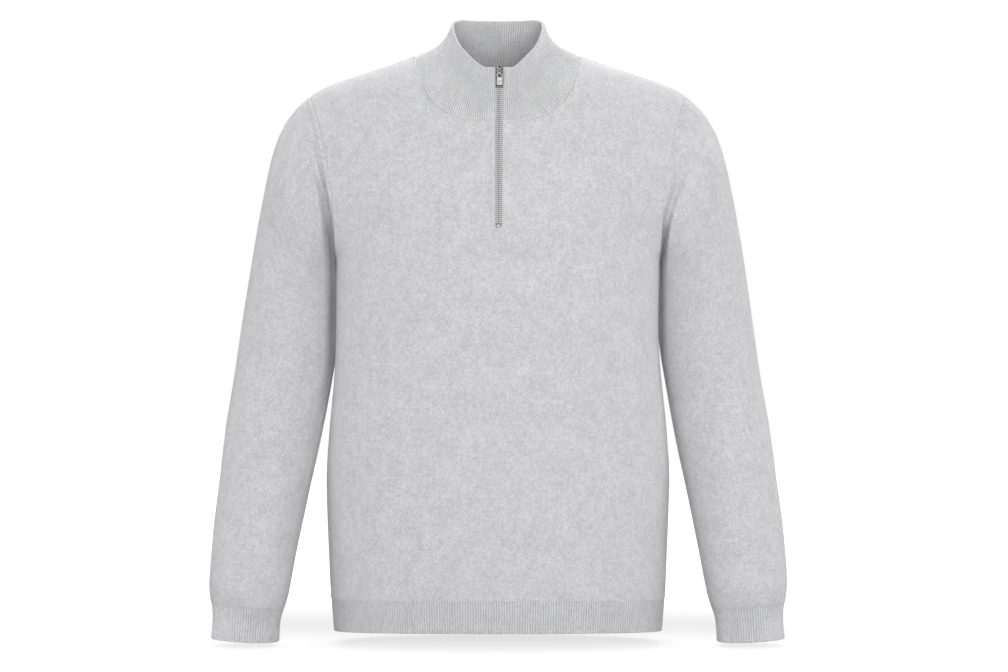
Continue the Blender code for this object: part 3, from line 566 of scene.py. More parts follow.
for face, name, node, folds, columns, rows, seed in (
    (-1, "knit_front", "front_panel", FRONT_FOLDS, 88, 216, 2),
    (1, "knit_back", "back_panel", BACK_FOLDS, 72, 190, 4),
):
    across = edged(columns, 0.27, first=face < 0, reach=FINE_REACH)
    up = edged(rows, 0.66, reach=FINE_REACH)
    place = panel_place(face, across, up)
    half = torso_point(face, *place)
    half[..., 1] += face * SEAM_GAP / 2
    half_u = round_length(face, place[0], half[..., 2])
    half_v = smooth(RIDGE, "z", half[..., 0]) - place[1]
    linked = np.minimum(run_from(half, 1, -1), run_from(half, 0, -1))
    knitted_on = run_from(half, 0)
    share = wall_share((linked, LINKED_ROUND, LINKED), (knitted_on, SEAM_ROUND, KNITTED_ON))
    shared = int(face > 0)
    points, normals = (with_mirror(grid, shared, MIRROR) for grid in (half, torso_normal(face, *place)))
    to_edge, bulk = np.minimum(linked, knitted_on), seam_bulk(linked)
    to_edge, bulk, share, v = (with_mirror(grid, shared) for grid in (to_edge, bulk, share, half_v))
    uv = stack(with_mirror(half_u, shared, -1.0), v)
    skip = None
    if face < 0:
        beside = np.maximum(np.abs(points[..., 0]) - SLIT_HALF, 0)
        below = np.maximum(ZIP_BOTTOM_Z - points[..., 2], 0)
        to_slit = np.hypot(beside, below)
        to_edge = np.minimum(to_edge, to_slit)
        share = np.minimum(share, narrowing(to_slit, SEAM_ROUND, FREE))
        skip = np.zeros((points.shape[0] - 1, points.shape[1] - 1), bool)
        skip[points[:-1, across.size, 2] > ZIP_BOTTOM_Z - 0.001, across.size - 1] = True
    lift = bulk + soft_folds(folds, points[..., 0], points[..., 2])
    lift = lift + unevenness(points[..., 0], points[..., 2], seed) * np.clip(to_edge / UNEVEN_FROM, 0, 1)
    points = zip_drift(points + normals * lift[..., None])
    outer, inner = walls(points, normals, JERSEY_WALL, share)
    panel = add_mesh(name, JERSEY, *shell(outer[:, ::-face], inner[:, ::-face], uv[:, ::-face], skip=skip))
    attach(panel, "garment")
    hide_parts(node)

# ---------------------------------------------------------------- hem band
# The bottom of the body: two bands of one-and-one rib, one knitted on below each panel, which draw
# the cloth in a little. Their lower edge is free.

RIB_WALL = 0.0022
RIB_HEIGHT = 0.0010
RIB_PITCH = 0.00295
RIB_STEPS = 6


def rib_height(columns, from_top, begin=0.003):
    """Ribs over a plain surface: each is one wave of a raised cosine with its crest at zero, and the
    grooves between them begin with a sine over a length of cloth."""
    phase = np.arange(columns) / RIB_STEPS
    begun = np.sin(np.clip(from_top / begin, 0, 1) * QUARTER)
    return -RIB_HEIGHT * (0.5 - 0.5 * np.cos(2 * pi * phase)) ** 0.8 * begun


RIB = knit(
    "heather_rib",
    light=(0.670, 0.670, 0.682),
    dark=(0.460, 0.461, 0.476),
    wale=RIB_PITCH,
    course=0.0013,
    relief=0.00020,
    groove=0.14,
)

for face, name, node, over in (
    (-1, "knit_hem_front", "hem_rib_front", "knit_front"),
    (1, "knit_hem_back", "hem_rib_back", "knit_back"),
):
    turns = np.linspace(0, 1, 600)
    length = run_from(torso_point(face, *torso_place(*hem_edge(turns, HEM_Z))), 0)
    ribs = int(round(length[-1] / RIB_PITCH))
    even = np.interp(np.linspace(0, length[-1], RIB_STEPS * ribs + 1), length, turns)
    heights = (HEM_Z + (HEM_RIB_TOP_Z - SEAM_GAP - HEM_Z) * edged(8, 0.038))[:, None]
    place = torso_place(*hem_edge(even, heights))
    half = torso_point(face, *place)
    half[..., 1] += face * SEAM_GAP / 2
    points, normals = (with_mirror(grid, 1, MIRROR) for grid in (half, torso_normal(face, *place)))
    uv = stack(np.linspace(-length[-1], length[-1], points.shape[1]), heights)
    points = points + normals * rib_height(points.shape[1], run_from(points, 0, -1))[..., None]
    to_hem, to_panel = run_from(points, 0), run_from(points, 0, -1)
    share = wall_share((to_hem, SEAM_ROUND, FREE), (to_panel, SEAM_ROUND, KNITTED_ON))
    outer, inner = walls(points, normals, RIB_WALL, share)
    band = add_mesh(name, RIB, *shell(outer[:, ::-face], inner[:, ::-face], uv[:, ::-face]))
    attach(band, "garment")
    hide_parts(node)

# ---------------------------------------------------------------- sleeves
# Two long sleeves in the same jersey, each a tube with one seam under the arm, linked into the
# armhole. They hang a little forwards and stay just clear of the body.

Ring = namedtuple("Ring", "along outer_x outer_z inner_x inner_z half_depth middle_y")
SLEEVE = (
    Ring(0.070, 0.2748, -0.1520, 0.1893, -0.2620, 0.0620, 0.020),
    Ring(0.115, 0.2848, -0.2000, 0.1888, -0.2860, 0.0610, 0.026),
    Ring(0.170, 0.2945, -0.2580, 0.1890, -0.3140, 0.0600, 0.027),
    Ring(0.225, 0.3030, -0.3160, 0.1922, -0.3480, 0.0585, 0.025),
    Ring(0.280, 0.3112, -0.3760, 0.1993, -0.3930, 0.0565, 0.018),
    Ring(0.340, 0.3205, -0.4360, 0.2098, -0.4530, 0.0545, 0.006),
    Ring(0.402, 0.3275, -0.4990, 0.2225, -0.5150, 0.0525, -0.007),
    Ring(0.466, 0.3347, -0.5640, 0.2346, -0.5780, 0.0500, -0.019),
    Ring(0.518, 0.3375, -0.6160, 0.2435, -0.6260, 0.0470, -0.028),
    Ring(0.535, 0.3362, -0.6320, 0.2475, -0.6400, 0.0440, -0.030),
    Ring(0.548, 0.3335, -0.6460, 0.2517, -0.6520, 0.0405, -0.031),
    Ring(0.560, 0.3330, -0.6580, 0.2543, -0.6630, 0.0380, -0.032),
    Ring(0.585, 0.3345, -0.6810, 0.2555, -0.6850, 0.0375, -0.034),
)
SLEEVE_END = 0.541
SLEEVE_SWING = 1.10
UNDERARM_LEAVES = (0.30, 0.50, -0.81)
SLEEVE_FULLNESS = 0.80
SLEEVE_ROUND = 0.057
SLEEVE_COLUMNS = 132


def hermite(start, leaves, end, arrives, s):
    """The cubic from start, which leaves along one vector, to end, where it arrives along another."""
    return (
        start * (1 + 2 * s) * (1 - s) ** 2
        + leaves * s * (1 - s) ** 2
        + end * s * s * (3 - 2 * s)
        - arrives * s * s * (1 - s)
    )


def ring_point(angle, along):
    """The sleeve below its cap: slanting ellipses, from a table, with angle 0 on the outer side, pi / 2
    in front and pi on the inner side."""
    ox, oz, ix, iz, depth, y = (smooth(SLEEVE, name, along) for name in Ring._fields[1:])
    lean = np.cos(angle)
    x = (ox + ix) / 2 + (ox - ix) / 2 * lean
    z = (oz + iz) / 2 + (oz - iz) / 2 * lean
    across = np.sin(angle)
    return stack(x, y - depth * np.sign(across) * np.abs(across) ** SLEEVE_FULLNESS, z)


def armhole_point(angle):
    """The armhole's edge in space, and the torso's outward normal there."""
    turn, drop = torso_place(*armhole_place(np.minimum(angle, 2 * pi - angle)))
    front = (angle <= pi)[..., None]
    edge = np.where(front, torso_point(-1, turn, drop), torso_point(1, turn, drop))
    normal = np.where(front, torso_normal(-1, turn, drop), torso_normal(1, turn, drop))
    return edge, normal


def sleeve_point(angle, along):
    """The left sleeve: a cubic from the armhole's edge, which it leaves along the torso's surface or,
    under the arm, outwards, to the first ring, and then the rings."""
    first = SLEEVE[0].along
    edge, normal = armhole_point(angle)
    ring = ring_point(angle, first)
    chord = ring - edge
    length = np.linalg.norm(chord, axis=-1, keepdims=True) * SLEEVE_SWING
    in_cloth = unit(chord - normal * np.sum(chord * normal, axis=-1, keepdims=True))
    outward = unit(np.array([1.0, 0, 0]) - normal * normal[..., :1])
    in_cloth = unit(in_cloth + 0.8 * outward)
    under = eased((1 - np.cos(angle)) / 2 * 2.2 - 0.9)[..., None]
    leaves = unit(in_cloth * (1 - under) + np.array(UNDERARM_LEAVES) * under)
    arrives = unit(ring_point(angle, first + 0.01) - ring)
    s = np.clip(along / first, 0, 1)[..., None]
    cap = hermite(edge + leaves * SEAM_GAP, leaves * length, ring, arrives * length, s)
    return np.where((along < first)[..., None], cap, ring_point(angle, np.maximum(along, first)))


def tube_normals(points):
    """Outward normals of a closed grid: the cross product of its two differences."""
    wide = np.concatenate([points[:, -1:], points, points[:, :1]], axis=1)
    return unit(np.cross(np.gradient(wide, axis=1), np.gradient(wide, axis=0)))[:, 1:-1]


def on_side(side, *grids):
    """Points of a left piece where they are (side 1), or mirrored, with their faces still outwards."""
    return [grid[:, ::side] * np.array([side, 1.0, 1]) for grid in grids]


SLEEVE_FOLDS = (
    Fold(0.066, 0.180, 0.074, 0.440, 0.009, 0.0012),
    Fold(0.104, 0.240, 0.098, 0.500, 0.010, -0.0012),
    Fold(0.048, 0.330, 0.060, 0.520, 0.008, -0.0011),
    Fold(0.245, 0.200, 0.250, 0.460, 0.012, -0.0018),
    Fold(0.285, 0.150, 0.275, 0.400, 0.012, 0.0016),
    Fold(0.215, 0.300, 0.222, 0.500, 0.010, 0.0014),
    Fold(0.128, 0.290, 0.066, 0.335, 0.010, -0.0008),
    Fold(0.318, 0.300, 0.255, 0.340, 0.011, -0.0010),
)
Valley = namedtuple("Valley", "z x width share")
RIGHT_VALLEY = (
    Valley(-0.455, 0.2145, 0.0040, 0.00),
    Valley(-0.420, 0.2060, 0.0045, 0.24),
    Valley(-0.395, 0.2010, 0.0055, 0.50),
    Valley(-0.360, 0.1955, 0.0066, 0.66),
    Valley(-0.300, 0.1928, 0.0068, 0.72),
    Valley(-0.245, 0.1935, 0.0064, 0.70),
    Valley(-0.215, 0.1955, 0.0056, 0.52),
    Valley(-0.188, 0.1985, 0.0052, 0.32),
    Valley(-0.165, 0.2020, 0.0050, 0.23),
    Valley(-0.145, 0.2065, 0.0048, 0.18),
    Valley(-0.123, 0.2135, 0.0050, 0.11),
    Valley(-0.100, 0.2200, 0.0050, 0.00),
)
LEFT_VALLEY = (
    Valley(-0.420, 0.2040, 0.0030, 0.00),
    Valley(-0.385, 0.1975, 0.0034, 0.30),
    Valley(-0.350, 0.1930, 0.0036, 0.55),
    Valley(-0.300, 0.1912, 0.0040, 0.68),
    Valley(-0.245, 0.1915, 0.0042, 0.62),
    Valley(-0.215, 0.1930, 0.0042, 0.38),
    Valley(-0.196, 0.1955, 0.0045, 0.22),
    Valley(-0.176, 0.2000, 0.0048, 0.14),
    Valley(-0.158, 0.2066, 0.0048, 0.12),
    Valley(-0.135, 0.2159, 0.0050, 0.07),
    Valley(-0.115, 0.2210, 0.0050, 0.00),
)


def inner_valley(points, middle_y, table):
    """The soft valley down the sleeve beside the body, in front and a fainter one behind: the cloth is
    drawn back towards the sleeve's middle, by a bell of the fourth power of x, from a table by height."""
    x, y, z = points[..., 0], points[..., 1], points[..., 2]
    aside = (x - smooth(table, "x", z)) / smooth(table, "width", z)
    share = smooth(table, "share", z) * np.exp(-(aside**4)) * np.where(y < middle_y, 1, 0.5)
    return points + stack(0, share * (middle_y - y), 0)


angle = np.linspace(2 * pi, 0, SLEEVE_COLUMNS, endpoint=False)[None, :]
along = SLEEVE_END * edged(172, 0.54, reach=FINE_REACH)[::-1, None]
plain = sleeve_point(angle, along)
middle_y = smooth(SLEEVE, "middle_y", np.maximum(along, SLEEVE[0].along))

for side, name, valley, seed in ((1, "left", LEFT_VALLEY, 11), (-1, "right", RIGHT_VALLEY, 17)):
    points = inner_valley(plain, middle_y, valley)
    normals = tube_normals(points)
    from_cuff, from_armhole = run_from(points, 0), run_from(points, 0, -1)
    share = wall_share((from_cuff, SEAM_ROUND, KNITTED_ON), (from_armhole, LINKED_ROUND, LINKED))
    uneven = unevenness(np.sin(angle) * SLEEVE_ROUND * 2, along, seed)
    lift = uneven * np.clip(np.minimum(from_cuff, from_armhole) / UNEVEN_FROM, 0, 1)
    lift = lift + seam_bulk(from_armhole) + soft_folds(SLEEVE_FOLDS, angle * SLEEVE_ROUND, along)
    points = points + normals * lift[..., None]
    stitch = np.linalg.norm(points - np.roll(points, 1, axis=1), axis=-1).mean(axis=1)[:, None]
    uv = stack(stitch * (np.arange(SLEEVE_COLUMNS + 1) - SLEEVE_COLUMNS / 2), -along)
    outer, inner = on_side(side, *walls(points, normals, JERSEY_WALL, share))
    sleeve = add_mesh(f"knit_sleeve_{name}", JERSEY, *shell(outer, inner, uv, closed=True))
    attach(sleeve, "garment")
    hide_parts(f"sleeve_{name}")

# ---------------------------------------------------------------- cuffs
# Tubes of the same one-and-one rib, knitted on below the sleeves, that draw them in at the wrist.

CUFF_END = 0.585
CUFF_RIBS = 80

columns = CUFF_RIBS * RIB_STEPS
angle = np.linspace(2 * pi, 0, columns, endpoint=False)[None, :]
along = (SLEEVE_END + SEAM_GAP + (CUFF_END - SLEEVE_END - SEAM_GAP) * edged(12, 0.044))[::-1, None]
points = ring_point(angle, along)
normals = tube_normals(points)
from_sleeve = run_from(points, 0, -1)
share = wall_share((run_from(points, 0), SEAM_ROUND, FREE), (from_sleeve, SEAM_ROUND, KNITTED_ON))
points = points + normals * rib_height(columns, from_sleeve)[..., None]
uv = stack(np.arange(columns + 1) * RIB_PITCH / RIB_STEPS, -along)

for side, name in ((1, "left"), (-1, "right")):
    outer, inner = on_side(side, *walls(points, normals, RIB_WALL, share))
    cuff = add_mesh(f"knit_cuff_{name}", RIB, *shell(outer, inner, uv, closed=True))
    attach(cuff, "garment")
    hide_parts(f"cuff_{name}")

# ---------------------------------------------------------------- collar
# A stand collar of fine rib, folded double and linked to the neckline, open in front for the zip.
# Its ribs fan out from the edge down to the wider neckline.

COLLAR_WALL = 0.0030
COLLAR_RIBS = 92
COLLAR_LINKED = 0.40
COLLAR_SWING = 1.25
COLLAR_LEAVES = {"side": (-0.90, 0.00, 0.43), -1: (0.00, 0.34, 0.94), 1: (0.00, -0.60, 0.80)}
COLLAR_ARRIVES = {"side": (-0.27, 0.00, 0.96), -1: (0.00, 0.20, 0.98), 1: (0.00, -0.16, 0.99)}
RIB_BEGIN = 0.006
FOLD_KEEPS = 0.4  # share of the ribs' height that is left on the folded edge
FOLD_REACH = 0.004

Rim = namedtuple("Rim", "degrees z")
RIM_HALF = 0.0545
RIM_FRONT = 0.0690
RIM_BACK = 0.0600
RIM = (
    Rim(0, -0.0178),
    Rim(16, -0.0174),
    Rim(24, -0.0134),
    Rim(44, 0.0014),
    Rim(58, 0.0120),
    Rim(72, 0.0250),
    Rim(84, 0.0352),
    Rim(102, 0.0430),
    Rim(130, 0.0476),
    Rim(180, 0.0484),
)

Spread = namedtuple("Spread", "ribs base rim")
RIB_SPREAD = (
    Spread(0.00, 0.000, 0.000),
    Spread(0.22, 0.170, 0.200),
    Spread(0.59, 0.576, 0.548),
    Spread(0.87, 0.897, 0.858),
    Spread(1.00, 1.000, 1.000),
)


def evenly(points, shares):
    """Points at the given shares of the length of a finely sampled line."""
    length = run_from(points, 0)
    return np.stack([np.interp(shares * length[-1], length, points[:, k]) for k in range(3)], axis=1)


def collar_base(shares):
    """The neckline from the slit (0) round to the centre back (1), on the left side."""
    steps = np.linspace(0, 1, 200)
    start = neckline_start(-1)
    front = torso_point(-1, *neckline_place(-1, start + (1 - start) * steps))
    back = torso_point(1, *neckline_place(1, 1 - steps))
    front[:, 1] -= SEAM_GAP / 2
    back[:, 1] += SEAM_GAP / 2
    return evenly(np.concatenate([front, back]), smooth(RIB_SPREAD, "base", shares))


def collar_rim(shares):
    """The collar's edge: an ellipse from above, deeper in front than behind, with heights by angle."""
    angle = np.linspace(asin(SLIT_HALF / RIM_HALF), pi, 400)
    depth = np.where(angle < QUARTER, RIM_FRONT, RIM_BACK)
    z = smooth(RIM, "z", np.degrees(angle))
    rim = stack(RIM_HALF * np.sin(angle), -depth * np.cos(angle), z)
    return evenly(rim, smooth(RIB_SPREAD, "rim", shares))


def collar_point(shares, height):
    """The collar's left half: cubics from the neckline to the edge, whose end directions turn from the
    front's or back's to the side's with the square of the sine."""
    base, rim = collar_base(shares), collar_rim(shares)
    round_by = np.arctan2(rim[:, 0], -rim[:, 1])[:, None]
    side = np.sin(round_by) ** 2
    directions = [
        unit(np.where(round_by < QUARTER, table[-1], table[1]) * (1 - side) + np.array(table["side"]) * side)
        for table in (COLLAR_LEAVES, COLLAR_ARRIVES)
    ]
    swing = np.linalg.norm(rim - base, axis=1, keepdims=True) * COLLAR_SWING
    leaves, arrives = (direction[None] * swing for direction in directions)
    start = base + directions[0] * SEAM_GAP
    return hermite(start[None], leaves, rim[None], arrives, height[:, None, None])


# Lighter than the hem's rib of the same yarn: painted light that makes up for the collar's shade.
FINE_RIB = knit(
    "heather_fine_rib",
    light=(0.700, 0.700, 0.711),
    dark=(0.484, 0.485, 0.499),
    wale=RIB_PITCH,
    course=0.0013,
    relief=0.00020,
    groove=0.17,
)

left = collar_point(np.linspace(0, 1, COLLAR_RIBS * RIB_STEPS + 1), edged(22, 0.065))
points = np.concatenate([left, left[:, -2::-1] * MIRROR], axis=1)
normals = unit(np.cross(np.gradient(points, axis=1), np.gradient(points, axis=0)))
from_neck, from_fold = run_from(points, 0), run_from(points, 0, -1)
free = np.minimum(from_fold, np.minimum(run_from(points, 1), run_from(points, 1, -1)))
share = wall_share((free, COLLAR_WALL / 2, FREE), (from_neck, SEAM_ROUND, COLLAR_LINKED))
uv = stack(np.arange(points.shape[1]) * RIB_PITCH / RIB_STEPS, from_neck)
ribs = rib_height(points.shape[1], from_neck, RIB_BEGIN)
ribs = ribs * (FOLD_KEEPS + (1 - FOLD_KEEPS) * np.clip(from_fold / FOLD_REACH, 0, 1))
points = zip_drift(points + normals * ribs[..., None])
collar = add_mesh("knit_collar", FINE_RIB, *shell(*walls(points, normals, COLLAR_WALL, share), uv))
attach(collar, "garment")
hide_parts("collar")

# ---------------------------------------------------------------- zip tapes
# Two woven polyester tapes in the knit's grey, sewn behind the slit's edges. The teeth grip a corded
# inner edge, and a line of stitching holds each tape to the cloth.

TAPE_GAP = 0.0005
TAPE_WALL = 0.0010
TAPE_INNER = 0.0009
TAPE_FLAT_FROM = 0.0021
TAPE_OUTER = 0.0150
TAPE_TAIL = 0.0080
CORD_OUT = 0.0004
CORD_WIDTH = 0.0005
CORD_HEIGHT = 0.00035
PULL_SHADOW = (-0.0432, -0.0408, 0.42)  # painted shadow of the pull: where it begins, and the share it leaves
TOOTH_STEP = 0.00238
TOOTH_DRIFT = 0.00025
FIRST_TOOTH_Z = -0.0289


def tooth_count(z):
    """How many teeth lie above a height: the root of the quadratic that gives the teeth's heights."""
    return (1 - np.sqrt(1 - 4 * TOOTH_DRIFT * (FIRST_TOOTH_Z - z) / TOOTH_STEP)) / (2 * TOOTH_DRIFT)


def at_lengths(points, run, lengths):
    """Points at the given lengths along each row of a grid, straight between its neighbours there."""
    after = np.clip((run[:, None, :] < lengths[:, None]).sum(axis=-1), 1, run.shape[1] - 1)
    row = np.arange(len(run))[:, None]
    start, end = run[row, after - 1], run[row, after]
    share = np.clip((lengths - start) / (end - start), 0, 1)[..., None]
    return points[row, after - 1] * (1 - share) + points[row, after] * share


def beside_slit(offsets, rows):
    """The cloth beside the slit, from the collar's edge down past the zip's end: points the given
    lengths out from the centre, their normals, and how deep the tape runs there."""
    fine = collar_point(np.linspace(0, 0.2, 60), np.linspace(1, 0, rows + 1))[:-1]
    collar = at_lengths(fine, run_from(fine, 1) + SLIT_HALF, offsets)
    z = np.linspace(NECK_FRONT_Z, ZIP_BOTTOM_Z - TAPE_TAIL, 3 * rows)[:, None]
    front = torso_point(-1, *torso_place(np.maximum(offsets, SLIT_HALF), z))
    points = np.concatenate([collar, front])
    points[..., 0] = np.where(offsets < SLIT_HALF, offsets, points[..., 0])
    normals = unit(np.cross(np.gradient(points, axis=0), np.gradient(points, axis=1)))
    wall = np.interp(points[..., 2], [NECK_FRONT_Z - 0.0159, NECK_FRONT_Z], [JERSEY_WALL, COLLAR_WALL])
    return points, normals, (wall + TAPE_GAP)[..., None]


def ranged(tree, value, low, high, at_low, at_high, **settings):
    """A value that goes from at_low to at_high as another goes from low to high."""
    inputs = {0: value, 1: low, 2: high, 3: at_low, 4: at_high}
    return Reading(add_node(tree, "MapRange", inputs, **settings).outputs[0])


def painted_shade_above(tree, colour, low, high, least):
    """A colour with painted shade: whole below one height and only a share of it above."""
    _, _, z = parts_of(add_node(tree, "TexCoord").outputs["Object"])
    return times(tree, colour, ranged(tree, z, low, high, 1.0, least))


def weave(name, colour, pitch, relief):
    """A plain weave: warp and weft are sines a half turn apart, and each thread has its own grey.
    Painted shade by a cosine darkens the corded edge between the teeth and leaves it lighter beside each
    tooth, and a painted shadow darkens it behind the pull."""
    made, tree, shader = new_surface(name, 0.85)
    place = add_node(tree, "UVMap", uv_map="Cloth").outputs[0]
    u, v, _ = parts_of(place)
    raise_by(shader, (u * (2 * pi / pitch)).sine() * (v * (pi / pitch)).sine(), 0.7, relief)
    yarn = mixed(tree, [0.72 * part for part in colour], colour, noise(tree, place, 900, 2))
    # Painted shade between the teeth, painted light beside each tooth.
    tooth_shade = (v * (2 * pi / TOOTH_STEP)).cosine() * 0.36 + 0.82
    colour = painted_shade_above(tree, times(tree, yarn, tooth_shade), *PULL_SHADOW)
    tree.links.new(colour, shader.inputs["Base Color"])
    shader.inputs["Specular IOR Level"].default_value = 0.3
    return made


TAPE = weave("zip_tape_weave", (0.62, 0.622, 0.63), 0.0005, 0.00006)

corded = TAPE_INNER + np.array([0, 0.15, 0.4, 0.8]) / 1000
offsets = np.concatenate([corded, np.linspace(TAPE_FLAT_FROM, TAPE_OUTER, 12)])
points, normals, depth = (grid[::-1] for grid in beside_slit(offsets, 30))
cord = np.exp(-(((offsets - TAPE_INNER - CORD_OUT) / CORD_WIDTH) ** 2))[None, :, None] * CORD_HEIGHT
face_points = points - normals * (depth - cord)
back_points = face_points - normals * (TAPE_WALL + cord)
uv = stack(offsets, -TOOTH_STEP * tooth_count(face_points[..., 2]))

for side, name in ((1, "left"), (-1, "right")):
    outer, inner = (zip_drift(grid) for grid in on_side(side, face_points, back_points))
    tape = add_mesh(f"tape_{name}", TAPE, *shell(outer, inner, uv[:, ::side]))
    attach(tape, "garment")
    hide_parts(f"zip_tape_{name}")

# ---------------------------------------------------------------- zip teeth
# Coarse metal teeth, pressed in turn round the one tape's corded edge and the other's, so that each
# head reaches well across between its two neighbours. A clamp joins the rows at the bottom.

CHAIN_HALF = 0.0028
CHAIN_PROUD = 0.0017
CHAIN_MIDDLE = -0.0013  # the middle of a tooth's depth, from the chain's front
STOP_LENGTH = 0.0040
STOP_CLEAR = 0.0010
STOP_LIFT = 0.00015

Part = namedtuple("Part", "at half_a half_b")
TOOTH = (
    Part(-0.00262, 0.00050, 0.00030),
    Part(-0.00245, 0.00095, 0.00050),
    Part(-0.00160, 0.00125, 0.00066),
    Part(-0.00090, 0.00112, 0.00056),
    Part(0.00000, 0.00096, 0.00034),
    Part(0.00110, 0.00104, 0.00058),
    Part(0.00200, 0.00090, 0.00050),
    Part(0.00222, 0.00050, 0.00028),
)
STOP = (
    Part(-0.00200, 0.00190, 0.00080),
    Part(-0.00185, 0.00240, 0.00130),
    Part(-0.00120, 0.00275, 0.00165),
    Part(0.00000, 0.00268, 0.00158),
    Part(0.00120, 0.00275, 0.00165),
    Part(0.00185, 0.00240, 0.00130),
    Part(0.00200, 0.00190, 0.00080),
)


def square_rings(size, half_a, half_b, squareness=0.5):
    """Rounded rectangles, one for each half size: a circle's cosine and sine, each to a power."""
    angle = (np.arange(size) + 0.5) / size * 2 * pi
    a, b = (np.sign(wave) * np.abs(wave) ** squareness for wave in (np.cos(angle), np.sin(angle)))
    return np.multiply.outer(half_a, a), np.multiply.outer(half_b, b)


def loft(rings):
    """Points and faces of a closed solid through rings of points: quads between the rings, and strips
    of quads over the first and the last."""
    count, size = rings.shape[:2]
    i, k = (a.ravel() for a in np.meshgrid(np.arange(count - 1), np.arange(size), indexing="ij"))
    right = (k + 1) % size
    sides = np.stack([i * size + k, i * size + right, (i + 1) * size + right, (i + 1) * size + k], 1)
    strip = np.arange(size // 2 - 1)
    cap = np.stack([strip, size - 1 - strip, size - 2 - strip, strip + 1], 1)
    faces = np.concatenate([sides, cap, cap[:, ::-1] + (count - 1) * size])
    points = rings.reshape(-1, 3)
    a, b, c, d = (points[faces[:, k]] for k in range(4))
    volume = np.sum(np.cross(b - a, c - a) * a) + np.sum(np.cross(c - a, d - a) * a)
    return points, faces if volume > 0 else faces[:, ::-1]


def joined(parts):
    """Several pairs of points and faces as one pair."""
    shift = np.cumsum([0] + [len(points) for points, _ in parts])
    faces = np.concatenate([faces + start for (_, faces), start in zip(parts, shift)])
    return np.concatenate([points for points, _ in parts]), faces


def metal(name, light, dark, roughness, scale, metallic=1.0, shade_above=None, worn=(0.0, 1.0)):
    """Cast metal: a worn finish whose grey and roughness follow one noise, fine dents another, and, where
    asked, painted shade above a height.
    """
    made, tree, shader = new_surface(name, roughness, metallic)
    place = add_node(tree, "TexCoord").outputs["Object"]
    wear = noise(tree, place, scale, 4, 0.65)
    colour = mixed(tree, dark, light, ranged(tree, wear, *worn, 0.0, 1.0))
    tree.links.new(painted_shade_above(tree, colour, *shade_above) if shade_above else colour, shader.inputs["Base Color"])
    tree.links.new((wear * 0.2 + (roughness - 0.1)).socket, shader.inputs["Roughness"])
    raise_by(shader, noise(tree, place, scale * 5, 2), 0.3, 0.00005)
    return made


# A painted shadow of the slider and pull darkens the teeth above a height.
TEETH = metal("zip_teeth_nickel", (0.78, 0.78, 0.775), (0.52, 0.52, 0.518), 0.46, 500, shade_above=PULL_SHADOW)
CLAMP = metal("zip_clamp_nickel", (0.34, 0.34, 0.338), (0.22, 0.22, 0.218), 0.50, 700)

points, normals, depth = beside_slit(np.array([0.0, CHAIN_HALF]), 60)
spine_out = unit(normals[:, 0] * np.array([0.0, 1, 1]))
spine = zip_drift(points[:, 0] - spine_out * (depth[:, 0] - CHAIN_PROUD))
spine_run = run_from(spine, 0)


def along_chain(local, at, side=1.0):
    """Points set on the chain at lengths down it: their first part across it, the second outwards from
    its front line and the third down it."""
    point, out = (
        np.stack([np.interp(at, spine_run, line[:, k]) for k in range(3)], axis=-1)
        for line in (spine, spine_out)
    )
    out = unit(out)
    down = np.cross(out, np.array([1.0, 0, 0]))
    point, out, down = (line[:, None, None, :] for line in (point, out, down))
    across = np.array([side, 0, 0]) * local[None, ..., :1]
    return point + across + out * local[None, ..., 1:2] + down * local[None, ..., 2:3]


steps = np.arange(90)
tooth_z = FIRST_TOOTH_Z - TOOTH_STEP * steps * (1 - TOOTH_DRIFT * steps)
tooth_z = tooth_z[tooth_z > ZIP_BOTTOM_Z + STOP_LENGTH + STOP_CLEAR]
tooth_at = np.interp(-tooth_z, -spine[:, 2], spine_run)
at, half_depth, half_height = np.array(TOOTH).T
a, b = square_rings(8, half_depth, half_height)
tooth = stack(at[:, None], CHAIN_MIDDLE + a, b)
left_row = along_chain(tooth, tooth_at[::2], side=-1.0)
right_row = along_chain(tooth, tooth_at[1::2])
chain = add_mesh("teeth", TEETH, *joined([loft(rings) for rings in (*left_row, *right_row)]))
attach(chain, "garment")
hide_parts("zip_chain")

at, half_width, half_depth = np.array(STOP).T
a, b = square_rings(16, half_width, half_depth, 0.4)
zip_end = np.interp(-ZIP_BOTTOM_Z, -spine[:, 2], spine_run)
middle = np.array([zip_end - STOP_LENGTH / 2 - STOP_LIFT])
stop = add_mesh("bottom_clamp", CLAMP, *loft(along_chain(stack(a, CHAIN_MIDDLE + b, at[:, None]), middle)[0]))
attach(stop, "garment")
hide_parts("zip_bottom_stop")

# ---------------------------------------------------------------- zip slider
# A die-cast slider in dark antique nickel, stopped at the top of the chain: two plates joined by a
# post at the top, low flanges at the sides, and an arch on the front that holds the pull tab.

SLIDER_AT = np.array([0.0013, -0.06976, -0.021385])
SLIDER_TILT = 0.25689
FRONT_FACE = 0.0004
REAR_FACE = 0.0058
PLATE_WALL = 0.0012
PLATE_HALF = 0.0039
PLATE_DOME = 0.00012
POST_Y = np.array([0.0012, 0.0022, 0.0042, 0.0052])
POST_Z = 0.0041
POST_HALVES = (0.0015, 0.0010)
ARCH_HALVES = (0.0010, 0.00042)
FLANGE_HALF = 0.0003
FLANGE_X = 0.0034
FLANGE_Y = 0.0009
FLANGE_TAPER = 0.03

